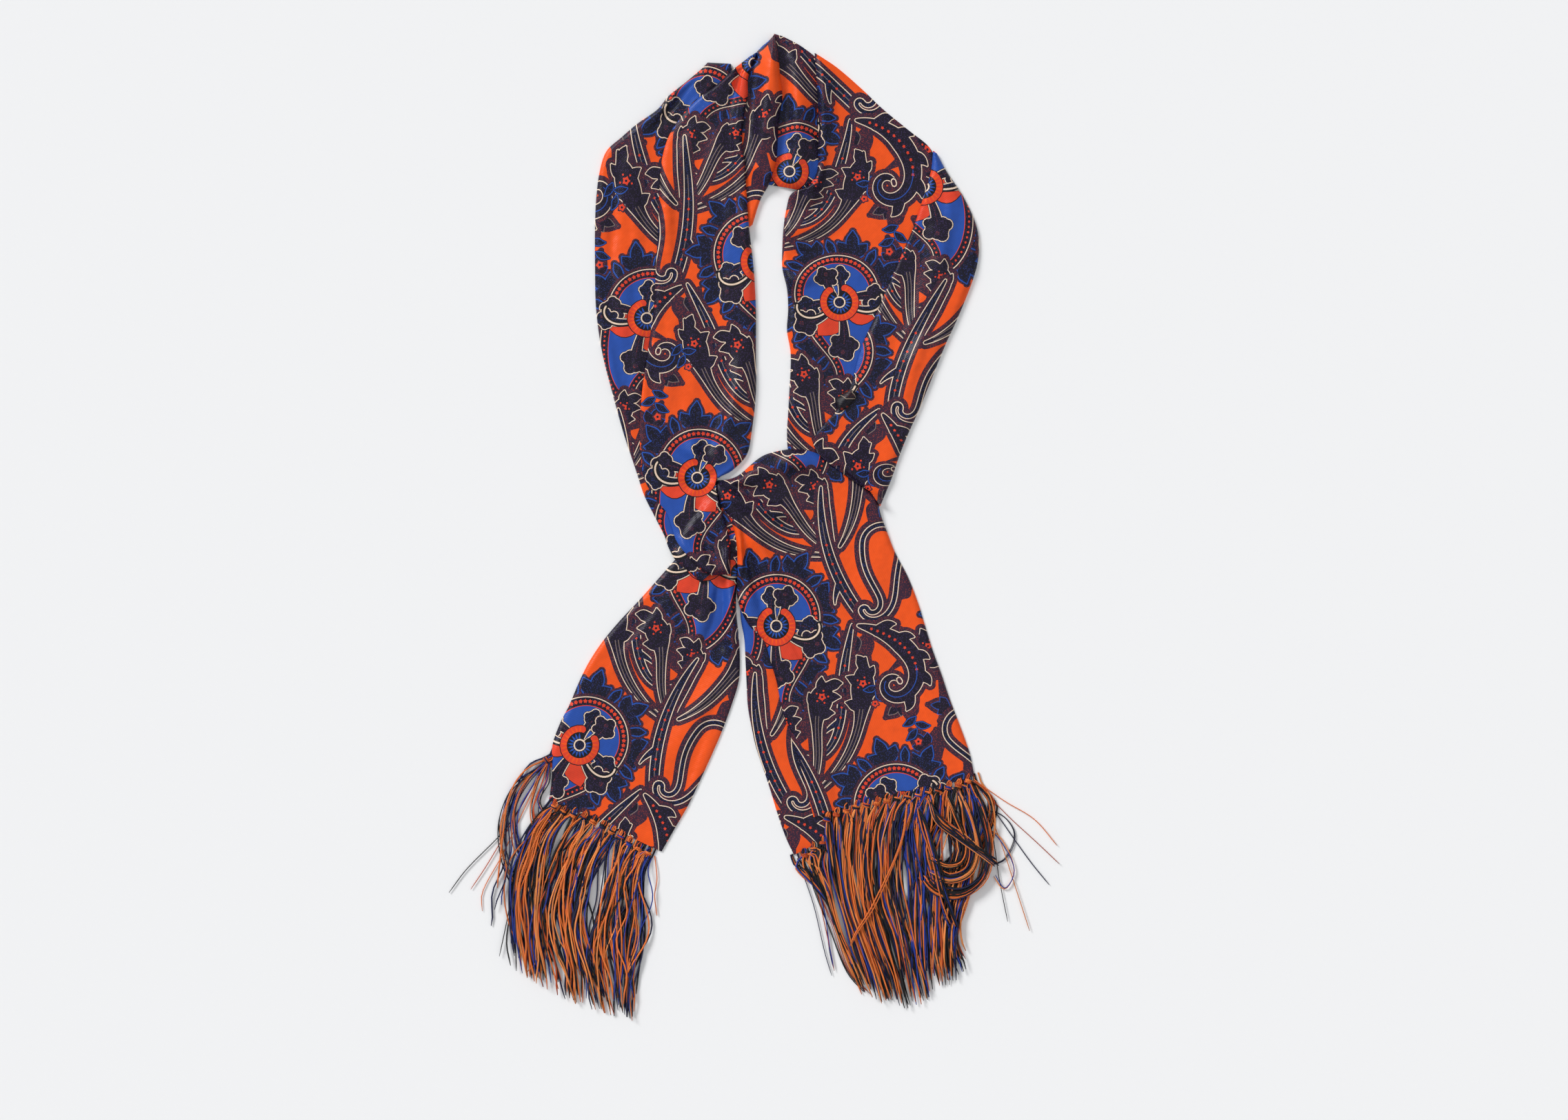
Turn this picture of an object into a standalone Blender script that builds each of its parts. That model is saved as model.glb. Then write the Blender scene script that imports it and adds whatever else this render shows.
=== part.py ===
"""Silk scarf with a knotted fringe, folded lengthwise and laid out flat in a loop with its two tails below.

Metres, +X to the right and +Y up the loop as it lies, +Z up from the surface it lies on.
The origin is on the surface, in the middle of the scarf's footprint.
Every visible stretch of the cloth is a thin wall, lofted through the sections of its table.
It rests on the stretches under it, and rises in rolls along its folded edges and in soft folds.
"""

import math
from collections import namedtuple

import bmesh
import bpy
from mathutils import Vector
from mathutils.bvhtree import BVHTree

# Driving sizes, in millimetres like the tables below
MM = 0.001
WALL = 1.5  # the doubled silk
RIM = 0.9  # the wall at its edges
CLEAR = 0.35  # between a stretch and what it lies on
UNDERCUT = 0.8  # the underside follows a fold this much lower than the top
ROLL_WIDTH = 5.0  # of the quarter round along a folded edge
ROLL_REACH = 26.0  # how far a folded edge still lifts the cloth beside it
LEDGE = 1.1  # height of one hidden layer
ROW_SPREAD = 0.25  # how much closer together the wall's rows are at its ends
COLUMN_SPREAD = 0.7  # and its columns at its edges
SHARP_ANGLE = 50  # degrees; flatter edges are shaded smooth
PROBES = 5  # steps across one cell of the wall, where it feels for what is under it
PROBE_FROM = 100.0  # height that the probes start from, above everything
EASINGS = 3  # times that the resting heights are smoothed
FOLD_STEPS = 12  # straight steps along a fold's curve
FOLD_END = 0.12  # how far into its fade a fold starts and ends
SETTLED = 0.35  # share of a fold's height that is left at an edge that lies flat

# Fringe sizes
STRAND = 0.52  # radius of a strand where it leaves the knots
STRAND_TIP = 0.34
STRAND_STEPS = 5
STRIP_DEPTH = 2.2  # of the row of knots, away from the hem
STRIP_PARTING = 0.3  # between the hem and the row of knots
CELL = 1.25  # height of one of the three rows that the strands leave from
STRIP_FOOT = 0.35  # height of the strip's underside on the bare surface
STRIP_BACK = (0.6, 2.4)  # heights of the strip's inner face, in cells
STRAND_FLOOR = 0.75  # height of a strand's middle where it lies on the surface
STRAND_DOWN = 0.75  # share of its length in which a strand comes down to the surface
RIPPLE = 1.3  # how far a strand wanders sideways
STRIP_FEELERS = (0.3, 1.0, 2.5, 5.0, 9.0)  # where the strip feels for cloth under it, from the hem
LEVEL_ORDER = (0, 2, 1)  # which row of cells each strand in turn leaves from
THIRDS = [0.0, 0.5, 1.0]  # places of a fringe section's three columns

Fold = namedtuple("Fold", "start bend end height width")
Rolls = namedtuple("Rolls", "left right start end")
Stretch = namedtuple("Stretch", "name sections size rolls folds below silk")
Stray = namedtuple("Stray", "bend end")
Fringe = namedtuple("Fringe", "name sections strands before after below")

# Sections across each stretch, from its first row to its last, as (x, y) of the left and right edge
LEFT_TAIL_UNDER = [
    # left, right
    ((-145, -212), (-140, -185)),
    ((-163, -213), (-158, -188)),
    ((-182, -210), (-175, -193)),
]
LEFT_TAIL = [
    # left, right
    ((-60, -20), (-17, -28)),
    ((-69, -31), (-13, -42)),
    ((-83, -47), (-15, -58)),
    ((-99, -65), (-15, -77)),
    ((-116, -83), (-13, -97)),
    ((-131, -101), (-12, -116)),
    ((-143, -119), (-13, -136)),
    ((-152, -137), (-19, -156)),
    ((-160, -156), (-27, -178)),
    ((-169, -174), (-36, -199)),
    ((-175, -192), (-46, -221)),
    ((-175, -210), (-57, -244)),
    ((-176, -225), (-68, -263)),
    ((-178, -239), (-80, -284)),
]
LEFT_OUTER = [
    # left, right
    ((-40, 402), (-20, 401)),
    ((-46, 396), (-18, 389)),
    ((-59, 385), (-22, 374)),
    ((-74, 373), (-26, 359)),
    ((-84, 361), (-28, 345)),
    ((-101, 349), (-28, 332)),
    ((-115, 337), (-27, 318)),
    ((-128, 325), (-25, 304)),
    ((-134, 307), (-22, 290)),
    ((-137, 283), (-17, 275)),
    ((-138, 259), (-9, 257)),
    ((-138, 223), (-5, 223)),
    ((-137, 187), (-4, 187)),
    ((-132, 151), (-4, 151)),
    ((-123, 115), (-4, 115)),
    ((-113, 79), (-9, 79)),
    ((-107, 61), (-18, 61)),
    ((-101, 43), (-40, 46)),
    ((-95, 25), (-52, 31)),
    ((-86, 7), (-52, 14)),
    ((-77, -11), (-50, -3)),
    ((-74, -20), (-48, -14)),
    ((-67, -32), (-44, -23)),
    ((-58, -39), (-40, -31)),
    ((-46, -50), (-34, -40)),
]
RIGHT_TAIL_UNDER = [
    # left, right
    ((-12, -66), (14, -70)),
    ((-11, -83), (24, -92)),
    ((-8, -100), (34, -110)),
    ((-7, -120), (42, -130)),
    ((-6, -140), (48, -150)),
    ((-5, -158), (53, -168)),
    ((-2, -175), (58, -186)),
    ((2, -193), (62, -203)),
    ((8, -211), (65, -221)),
    ((14, -229), (66, -238)),
    ((21, -252), (67, -252)),
    ((28, -272), (67, -262)),
    ((35, -287), (67, -271)),
]
NECK_PLEAT_RIGHT = [
    # left, right
    ((18, 427), (25, 425)),
    ((17, 416), (43, 415)),
    ((17, 403), (59, 401)),
    ((18, 388), (60, 388)),
    ((19, 370), (61, 370)),
    ((17, 349), (62, 349)),
    ((15, 331), (61, 328)),
    ((14, 313), (60, 310)),
    ((12, 302), (57, 299)),
    ((12, 296), (50, 289)),
]
RIGHT_INNER = [
    # left, right
    ((53, 410), (58, 407)),
    ((54, 397), (73, 397)),
    ((55, 379), (94, 379)),
    ((56, 361), (113, 361)),
    ((56, 343), (135, 343)),
    ((56, 328), (153, 328)),
    ((55, 307), (162, 307)),
    ((47, 294), (172, 292)),
    ((33, 288), (177, 283)),
    ((29, 277), (183, 275)),
    ((26, 259), (189, 259)),
    ((25, 241), (190, 241)),
    ((25, 223), (188, 223)),
    ((29, 205), (181, 205)),
    ((30, 187), (174, 187)),
    ((29, 169), (166, 169)),
    ((32, 151), (158, 151)),
    ((32, 133), (151, 133)),
    ((31, 115), (144, 115)),
    ((30, 97), (136, 97)),
    ((29, 79), (128, 79)),
    ((30, 63), (121, 61)),
    ((33, 51), (114, 45)),
]
NECK_PLEAT_LEFT = [
    # left, right
    ((11, 419), (18, 426)),
    ((3, 411), (20, 417)),
    ((-5, 400), (22, 403)),
    ((-10, 388), (23, 389)),
    ((-12, 373), (25, 373)),
    ((-15, 349), (22, 350)),
    ((-17, 329), (21, 333)),
    ((-14, 316), (20, 318)),
    ((-12, 299), (17, 306)),
    ((-11, 283), (13, 295)),
    ((-10, 268), (6, 283)),
    ((-8, 256), (-1, 261)),
]
RIGHT_TAIL = [
    # left, second, middle, fourth, right
    ((-35, 38), (-15, 42), (13, 62), (55, 62), (108, 24)),
    ((-31, 22), (-10, 25), (15, 35), (58, 32), (110, 11)),
    ((-20, 4), (0, 5), (24, 8), (62, 4), (116, -6)),
    ((-15, -15), (4, -16), (27, -17), (68, -20), (123, -24)),
    ((-14, -38), (6, -41), (32, -43), (76, -45), (134, -45)),
    ((-14, -64), (7, -66), (36, -68), (83, -69), (143, -68)),
    ((-5, -86), (14, -88), (42, -90), (90, -92), (150, -91)),
    ((9, -101), (26, -105), (52, -109), (98, -112), (156, -110)),
    ((14, -116), (32, -122), (58, -128), (106, -131), (163, -129)),
    ((20, -137), (38, -142), (65, -147), (113, -150), (170, -150)),
    ((24, -157), (44, -162), (71, -168), (119, -171), (178, -171)),
    ((30, -177), (52, -182), (80, -186), (127, -187), (184, -187)),
    ((37, -198), (60, -203), (90, -204), (135, -203), (188, -199)),
    ((44, -222), (71, -224), (103, -220), (146, -215), (190, -208)),
    ((52, -254), (84, -244), (117, -237), (153, -230), (192, -218)),
]
TUCK_PLEAT = [
    # left, right
    ((-31, 14), (-20, 16)),
    ((-30, 4), (-15, 8)),
    ((-27, -5), (-12, -2)),
    ((-25, -14), (-11, -13)),
    ((-24, -23), (-10, -23)),
    ((-24, -34), (-10, -34)),
    ((-23, -44), (-11, -45)),
]
LEFT_INNER = [
    # left, right
    ((-5, 406), (3, 410)),
    ((-15, 398), (-2, 398)),
    ((-32, 382), (-5, 386)),
    ((-47, 371), (-5, 373)),
    ((-62, 356), (-8, 355)),
    ((-74, 337), (-10, 334)),
    ((-80, 316), (-8, 317)),
    ((-82, 286), (-6, 286)),
    ((-83, 259), (-4, 259)),
    ((-85, 223), (0, 223)),
    ((-87, 187), (2, 187)),
    ((-92, 151), (2, 151)),
    ((-97, 115), (2, 115)),
    ((-99, 79), (-2, 79)),
    ((-98, 61), (-6, 61)),
    ((-95, 40), (-19, 47)),
    ((-87, 25), (-31, 40)),
    ((-76, 11), (-32, 29)),
    ((-71, -2), (-28, 13)),
    ((-67, -14), (-23, -2)),
    ((-58, -26), (-20, -17)),
    ((-46, -39), (-20, -32)),
    ((-36, -44), (-20, -43)),
]
RIGHT_OUTER = [
    # left, right
    ((156, 325), (160, 322)),
    ((154, 307), (168, 307)),
    ((148, 286), (182, 286)),
    ((139, 259), (194, 259)),
    ((130, 238), (196, 238)),
    ((120, 215), (192, 217)),
    ((106, 182), (178, 181)),
    ((94, 155), (167, 157)),
    ((83, 117), (150, 115)),
    ((72, 99), (143, 98)),
    ((63, 89), (137, 85)),
    ((52, 75), (131, 71)),
    ((54, 65), (126, 58)),
    ((62, 56), (121, 43)),
    ((82, 41), (115, 28)),
    ((101, 29), (110, 16)),
]
TURNED_CORNER = [
    # left, right
    ((83, 118), (90, 115)),
    ((76, 113), (88, 109)),
    ((71, 108), (83, 103)),
    ((72, 102), (76, 98)),
]

# Soft folds: three points along each, height (a trough is below zero) and half width
LEFT_TAIL_FOLDS = [
    Fold((-21, -44), (-20, -71), (-20, -104), 3.6, 7),
    Fold((-29, -52), (-31, -77), (-29, -104), -2.0, 4),
    Fold((-38, -50), (-42, -77), (-52, -110), 2.8, 8),
    Fold((-52, -46), (-78, -83), (-112, -128), 2.2, 13),
    Fold((-22, -122), (-52, -168), (-84, -222), 2.4, 13),
    Fold((-60, -110), (-96, -160), (-130, -196), 1.4, 12),
]
LEFT_OUTER_FOLDS = [
    Fold((-46, 394), (-72, 368), (-98, 343), 2.6, 7),
    Fold((-98, 340), (-112, 305), (-112, 262), 2.0, 9),
    Fold((-112, 245), (-116, 190), (-110, 130), 2.2, 9),
    Fold((-97, 200), (-101, 145), (-104, 90), 2.4, 6),
]
NECK_PLEAT_LEFT_FOLDS = [
    Fold((17, 421), (14, 360), (4, 300), 3.2, 11),
]
NECK_PLEAT_RIGHT_FOLDS = [
    Fold((34, 405), (40, 345), (34, 296), 2.6, 7),
]
RIGHT_INNER_FOLDS = [
    Fold((62, 395), (60, 345), (57, 305), 2.6, 8),
    Fold((56, 306), (51, 283), (40, 262), 3.2, 8),
    Fold((28, 258), (46, 250), (70, 268), 3.6, 8),
    Fold((28, 212), (45, 211), (66, 226), 3.4, 8),
    Fold((70, 345), (96, 320), (118, 276), 1.8, 12),
    Fold((60, 195), (62, 160), (52, 120), 2.0, 12),
    Fold((34, 104), (48, 92), (62, 84), 2.2, 8),
]
RIGHT_TAIL_FOLDS = [
    Fold((-10, 40), (20, 52), (52, 56), 4.2, 9),
    Fold((-26, 33), (5, 23), (36, 24), -3.0, 5),
    Fold((-22, 22), (8, 10), (44, 12), 3.2, 9),
    Fold((-18, 8), (-8, -30), (-2, -78), 2.6, 6),
    Fold((-8, 8), (6, -34), (20, -86), 2.4, 7),
    Fold((2, 2), (22, -40), (36, -100), 1.8, 9),
    Fold((16, -110), (34, -160), (58, -222), 1.8, 9),
    Fold((112, -10), (96, -60), (104, -120), 1.6, 14),
    Fold((150, -120), (150, -170), (164, -210), 1.4, 13),
]
LEFT_INNER_FOLDS = [
    Fold((-20, 388), (-54, 350), (-66, 300), 3.2, 9),
    Fold((-22, 360), (-38, 320), (-40, 270), 1.8, 10),
    Fold((-66, 210), (-70, 150), (-78, 96), 2.0, 11),
    Fold((-12, 130), (-20, 90), (-30, 58), 3.0, 10),
    Fold((-36, 40), (-52, 58), (-60, 96), 3.4, 8),
    Fold((-38, 33), (-58, 40), (-82, 62), 2.6, 7),
    Fold((-36, 22), (-50, 6), (-60, -16), 2.4, 8),
]
RIGHT_OUTER_FOLDS = [
    Fold((164, 270), (154, 190), (126, 118), 2.4, 14),
    Fold((112, 190), (102, 150), (98, 112), 1.8, 9),
    Fold((66, 78), (92, 62), (116, 40), 2.4, 9),
]

# Hidden layers: how their sides go up, then their outlines, counter-clockwise
CORE_PROFILE = [
    # inset from the outline, height
    (0.4, 0.0),
    (0.0, 0.5),
    (0.3, LEDGE),
    (2.2, LEDGE),
    (2.4, 1.5 * LEDGE),
    (3.2, 2 * LEDGE),
]
NECK_CORE = [
    (14, 300), (30, 294), (46, 294), (51, 320), (52, 350), (52, 385), (44, 404), (20, 418),
    (4, 404), (-8, 390), (-16, 370), (-18, 348), (-16, 328), (-10, 310),
]
CROSSING_CORE = [
    (-44, -6), (-26, -15), (-4, -18), (10, -12), (20, 6), (25, 26), (22, 44), (6, 48),
    (-12, 38), (-30, 33), (-40, 24), (-46, 10),
]

# Every stretch lies on those before it that it overlaps, so the order is the order of laying
STRETCHES = [
    # name, sections, rows and columns of the wall, rolled edges, folds, what it lies on, silk
    Stretch("left_tail_under", LEFT_TAIL_UNDER, (4, 5), Rolls(0, 0, 0, 0), [], [], "silk_plum"),
    Stretch(
        "left_tail",
        LEFT_TAIL,
        (27, 11),
        Rolls(1.8, 1.2, 0, 0),
        LEFT_TAIL_FOLDS,
        ["left_tail_under"],
        "silk_orange",
    ),
    Stretch(
        "left_outer",
        LEFT_OUTER,
        (32, 8),
        Rolls(2.0, 0, 1.5, 0),
        LEFT_OUTER_FOLDS,
        ["left_tail"],
        "silk_plum",
    ),
    Stretch("right_tail_under", RIGHT_TAIL_UNDER, (17, 6), Rolls(1.2, 0, 0, 0), [], [], "silk_plum"),
    Stretch(
        "neck_pleat_right",
        NECK_PLEAT_RIGHT,
        (14, 7),
        Rolls(0, 0, 0.8, 1.2),
        NECK_PLEAT_RIGHT_FOLDS,
        ["neck_folds"],
        "silk_navy",
    ),
    Stretch(
        "right_inner",
        RIGHT_INNER,
        (32, 10),
        Rolls(2.0, 0, 0, 0),
        RIGHT_INNER_FOLDS,
        ["neck_folds", "neck_pleat_right"],
        "silk_orange",
    ),
    Stretch(
        "neck_pleat_left",
        NECK_PLEAT_LEFT,
        (15, 7),
        Rolls(0, 2.4, 0.8, 0),
        NECK_PLEAT_LEFT_FOLDS,
        ["neck_folds", "neck_pleat_right"],
        "silk_navy",
    ),
    Stretch(
        "tuck_pleat",
        TUCK_PLEAT,
        (9, 6),
        Rolls(0, 0, 0, 0.8),
        [],
        ["crossing_folds", "left_tail"],
        "silk_orange",
    ),
    Stretch(
        "right_tail",
        RIGHT_TAIL,
        (31, 13),
        Rolls(1.8, 1.6, 2.6, 0),
        RIGHT_TAIL_FOLDS,
        ["crossing_folds", "left_tail", "right_tail_under", "right_inner", "tuck_pleat"],
        "silk_orange",
    ),
    Stretch(
        "left_inner",
        LEFT_INNER,
        (35, 11),
        Rolls(0.8, 2.4, 0, 2.2),
        LEFT_INNER_FOLDS,
        [
            "left_outer",
            "neck_folds",
            "neck_pleat_left",
            "crossing_folds",
            "left_tail",
            "right_tail",
            "tuck_pleat",
        ],
        "silk_orange",
    ),
    Stretch(
        "right_outer",
        RIGHT_OUTER,
        (26, 9),
        Rolls(0.8, 2.4, 0, 0),
        RIGHT_OUTER_FOLDS,
        ["right_inner", "right_tail"],
        "silk_orange",
    ),
    Stretch(
        "turned_corner",
        TURNED_CORNER,
        (6, 5),
        Rolls(0.6, 0.6, 0, 0),
        [],
        ["right_inner", "right_outer"],
        "silk_plum",
    ),
]

# Fringes, from the hem to the ends: (x, y) of the first, the middle and the last strand
LEFT_FRINGE = [
    # first, middle, last
    ((-179, -240), (-133, -259), (-83, -285)),
    ((-198, -262), (-146, -284), (-89, -303)),
    ((-209, -290), (-156, -315), (-94, -327)),
    ((-212, -318), (-160, -340), (-97, -352)),
    ((-212, -345), (-158, -366), (-98, -377)),
    ((-211, -366), (-152, -390), (-98, -400)),
    ((-211, -380), (-148, -412), (-97, -423)),
]
LEFT_FRINGE_UNDER = [
    # first, middle, last
    ((-175, -192), (-179, -202), (-183, -211)),
    ((-197, -206), (-197, -214), (-198, -222)),
    ((-216, -230), (-213, -236), (-210, -241)),
    ((-227, -262), (-222, -265), (-217, -268)),
    ((-231, -292), (-225, -294), (-220, -296)),
    ((-233, -319), (-227, -321), (-221, -322)),
    ((-230, -342), (-224, -346), (-217, -345)),
]
RIGHT_FRINGE = [
    # first, middle, last
    ((66, -252), (127, -236), (192, -219)),
    ((68, -284), (120, -264), (201, -240)),
    ((73, -314), (119, -297), (203, -268)),
    ((81, -344), (122, -327), (196, -305)),
    ((90, -371), (128, -357), (184, -338)),
    ((97, -389), (134, -385), (180, -362)),
    ((102, -405), (139, -409), (183, -381)),
]
RIGHT_FRINGE_UNDER = [
    # first, middle, last
    ((36, -288), (51, -280), (66, -272)),
    ((41, -312), (52, -304), (63, -297)),
    ((51, -337), (59, -331), (67, -326)),
    ((63, -361), (69, -357), (75, -354)),
    ((74, -384), (79, -382), (85, -380)),
    ((80, -403), (87, -403), (94, -402)),
]
FRINGES = [
    # name, sections, strands, loose strands before the first and after the last, what it lies on
    Fringe(
        "left_fringe",
        LEFT_FRINGE,
        56,
        [Stray((-214, -342), (-221, -375))],
        [Stray((-86, -318), (-84, -338))],
        ["left_tail"],
    ),
    Fringe(
        "left_fringe_under",
        LEFT_FRINGE_UNDER,
        7,
        [
            Stray((-214, -262), (-265, -320)),
            Stray((-218, -276), (-246, -317)),
            Stray((-226, -300), (-236, -336)),
        ],
        [],
        ["left_tail", "left_tail_under"],
    ),
    Fringe(
        "right_fringe",
        RIGHT_FRINGE,
        52,
        [],
        [
            Stray((212, -292), (221, -343)),
            Stray((222, -286), (240, -353)),
            Stray((226, -272), (257, -313)),
            Stray((229, -262), (266, -295)),
            Stray((230, -252), (264, -279)),
        ],
        ["right_tail", "right_tail_under"],
    ),
    Fringe(
        "right_fringe_under",
        RIGHT_FRINGE_UNDER,
        11,
        [Stray((58, -366), (68, -391))],
        [],
        ["right_tail", "right_tail_under"],
    ),
]

# Looks of each piece
SILK_ORANGE = (0.80, 0.10, 0.02, 1.0)
SILK_NAVY = (0.03, 0.03, 0.10, 1.0)
SILK_PLUM = (0.12, 0.05, 0.12, 1.0)
FRINGE_COPPER = (0.66, 0.20, 0.05, 1.0)
SILK_ROUGHNESS = 0.42
FRINGE_ROUGHNESS = 0.55


def clear_scene():
    for obj in list(bpy.data.objects):
        bpy.data.objects.remove(obj, do_unlink=True)


def silk(name, colour, roughness):
    material = bpy.data.materials.new(name)
    material.use_nodes = True
    shader = material.node_tree.nodes["Principled BSDF"]
    shader.inputs["Base Color"].default_value = colour
    shader.inputs["Roughness"].default_value = roughness
    shader.inputs["Metallic"].default_value = 0.0
    return material


def hermite(stations, values, at):
    """The smooth curve through values at stations, read at one place; values are vectors."""
    last = len(stations) - 2
    i = 0
    while i < last and at > stations[i + 1]:
        i += 1
    span = stations[i + 1] - stations[i]
    t = (at - stations[i]) / span

    def slope(k):
        if k == 0:
            return (values[1] - values[0]) / (stations[1] - stations[0])
        if k == len(stations) - 1:
            return (values[-1] - values[-2]) / (stations[-1] - stations[-2])
        return (values[k + 1] - values[k - 1]) / (stations[k + 1] - stations[k - 1])

    return (
        values[i] * (2 * t**3 - 3 * t**2 + 1)
        + slope(i) * span * (t**3 - 2 * t**2 + t)
        + values[i + 1] * (3 * t**2 - 2 * t**3)
        + slope(i + 1) * span * (t**3 - t**2)
    )


def spread(count, ends):
    """Places from 0 to 1, closer together at both ends; ends 0 is even and 1 is a half cosine."""
    places = []
    for i in range(count):
        even = i / (count - 1)
        places.append((1 - ends) * even + ends * (0.5 - 0.5 * math.cos(math.pi * even)))
    return places


def chord_stations(rows):
    """Distance along the middles of the sections, from 0 to 1."""
    middles = [sum((Vector(point) for point in row), Vector((0, 0))) / len(row) for row in rows]
    total = [0.0]
    for a, b in zip(middles, middles[1:]):
        total.append(total[-1] + (b - a).length)
    return [value / total[-1] for value in total]


def plan_grid(rows, row_places, column_places):
    """(x, y) of each grid point of a stretch, in millimetres."""
    stations = chord_stations(rows)
    width = len(rows[0])
    grid = []
    for u in row_places:
        row = [hermite(stations, [Vector(r[k]) for r in rows], u) for k in range(width)]
        if width == 2:
            grid.append([row[0].lerp(row[1], v) for v in column_places])
        else:
            knots = [k / (width - 1) for k in range(width)]
            grid.append([hermite(knots, row, v) for v in column_places])
    return grid


def distances(grid):
    """How far each grid point is from the left, right, start and end edge."""
    rows, columns = len(grid), len(grid[0])
    across = [[0.0] * columns for _ in range(rows)]
    along = [[0.0] * columns for _ in range(rows)]
    for i in range(rows):
        for j in range(columns):
            if j:
                across[i][j] = across[i][j - 1] + (grid[i][j] - grid[i][j - 1]).length
            if i:
                along[i][j] = along[i - 1][j] + (grid[i][j] - grid[i - 1][j]).length
    found = []
    for i in range(rows):
        found.append([])
        for j in range(columns):
            left, start = across[i][j], along[i][j]
            found[i].append((left, across[i][-1] - left, start, along[-1][j] - start))
    return found


def quarter_round(distance):
    inside = min(distance / ROLL_WIDTH, 1.0)
    return math.sqrt(max(0.0, 1 - (1 - inside) ** 2))


def fold_height(folds, x, y):
    """Sum of the soft folds at a point; each fades towards its two ends."""
    height = 0.0
    for fold in folds:
        nearest, share = None, 0.0
        for i in range(FOLD_STEPS + 1):
            t = i / FOLD_STEPS
            px = (1 - t) ** 2 * fold.start[0] + 2 * t * (1 - t) * fold.bend[0] + t**2 * fold.end[0]
            py = (1 - t) ** 2 * fold.start[1] + 2 * t * (1 - t) * fold.bend[1] + t**2 * fold.end[1]
            gap = math.hypot(x - px, y - py)
            if nearest is None or gap < nearest:
                nearest, share = gap, t
        fade = math.sin(math.pi * (FOLD_END + (1 - 2 * FOLD_END) * share))
        height += fold.height * fade * math.exp(-((nearest / fold.width) ** 2))
    return height


def lifts(grid, rolls, folds):
    """How far the cloth rises off what carries it at each grid point."""
    found = []
    for row, row_distances in zip(grid, distances(grid)):
        found.append([])
        for point, edges in zip(row, row_distances):
            crown, rounding = 0.0, 1.0
            for height, distance in zip(rolls, edges):
                if height:
                    crown += height * math.exp(-((distance / ROLL_REACH) ** 2))
                    rounding *= quarter_round(distance)
            free = [distance for height, distance in zip(rolls, edges) if not height]
            settle = min([1.0] + [distance / ROLL_REACH + SETTLED for distance in free])
            relief = fold_height(folds, point.x, point.y) * settle
            found[-1].append(max(0.0, (crown + relief) * rounding))
    return found


def top_below(trees, x, y):
    """Height of the highest of these solids under a point, or None over the bare surface."""
    highest = None
    for tree in trees:
        hit = tree.ray_cast(Vector((x, y, PROBE_FROM)), Vector((0, 0, -1)))[0]
        if hit is not None and (highest is None or hit.z > highest):
            highest = hit.z
    return highest


def resting_heights(grid, trees):
    """Lowest height of each grid point that keeps its cells clear of the solids below."""
    rows, columns = len(grid), len(grid[0])
    need = [[0.0] * columns for _ in range(rows)]
    if not trees:
        return need
    for i in range(rows - 1):
        for j in range(columns - 1):
            highest = None
            for a in range(PROBES + 1):
                for b in range(PROBES + 1):
                    upper = grid[i][j].lerp(grid[i][j + 1], b / PROBES)
                    lower = grid[i + 1][j].lerp(grid[i + 1][j + 1], b / PROBES)
                    point = upper.lerp(lower, a / PROBES)
                    found = top_below(trees, point.x, point.y)
                    if found is not None and (highest is None or found > highest):
                        highest = found
            if highest is not None:
                for di, dj in ((0, 0), (0, 1), (1, 0), (1, 1)):
                    need[i + di][j + dj] = max(need[i + di][j + dj], highest + CLEAR)
    eased = [row[:] for row in need]
    for _ in range(EASINGS):
        before = [row[:] for row in eased]
        for i in range(rows):
            for j in range(columns):
                near = [
                    before[i + di][j + dj]
                    for di, dj in ((-1, 0), (1, 0), (0, -1), (0, 1))
                    if 0 <= i + di < rows and 0 <= j + dj < columns
                ]
                mean = 0.5 * before[i][j] + 0.5 * sum(near) / len(near)
                eased[i][j] = max(need[i][j], mean if need[i][j] else 0.0)
    return eased


def add_object(name, mesh_parts, material, smooth=True):
    """One object from points in millimetres and faces."""
    points, faces = mesh_parts
    mesh = bpy.data.meshes.new(name)
    mesh.from_pydata([(x * MM, y * MM, z * MM) for x, y, z in points], [], faces)
    mesh.materials.append(material)
    work = bmesh.new()
    work.from_mesh(mesh)
    bmesh.ops.recalc_face_normals(work, faces=work.faces)
    bmesh.ops.triangulate(work, faces=work.faces, quad_method="FIXED", ngon_method="EAR_CLIP")
    work.to_mesh(mesh)
    work.free()
    if smooth:
        mesh.shade_smooth()
        mesh.set_sharp_from_angle(angle=math.radians(SHARP_ANGLE))
    obj = bpy.data.objects.new(name, mesh)
    bpy.context.scene.collection.objects.link(obj)
    return obj


def tree_of(obj):
    """A search tree of an object's faces, in millimetres."""
    points = [vertex.co / MM for vertex in obj.data.vertices]
    return BVHTree.FromPolygons(points, [tuple(face.vertices) for face in obj.data.polygons])


def closed_wall(grid, tops, bottoms):
    """Points and faces of the wall between two height grids over one plan grid."""
    rows, columns = len(grid), len(grid[0])
    points = []
    for heights in (tops, bottoms):
        for i in range(rows):
            for j in range(columns):
                points.append((grid[i][j].x, grid[i][j].y, heights[i][j]))
    under = rows * columns

    def at(i, j):
        return i * columns + j

    faces = []
    for i in range(rows - 1):
        for j in range(columns - 1):
            top = (at(i, j), at(i + 1, j), at(i + 1, j + 1), at(i, j + 1))
            faces.append(top)
            faces.append(tuple(under + k for k in reversed(top)))
    rim = [at(0, j) for j in range(columns)]
    rim += [at(i, columns - 1) for i in range(1, rows)]
    rim += [at(rows - 1, j) for j in range(columns - 2, -1, -1)]
    rim += [at(i, 0) for i in range(rows - 2, 0, -1)]
    for a, b in zip(rim, rim[1:] + rim[:1]):
        faces.append((a, b, under + b, under + a))
    return points, faces


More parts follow.
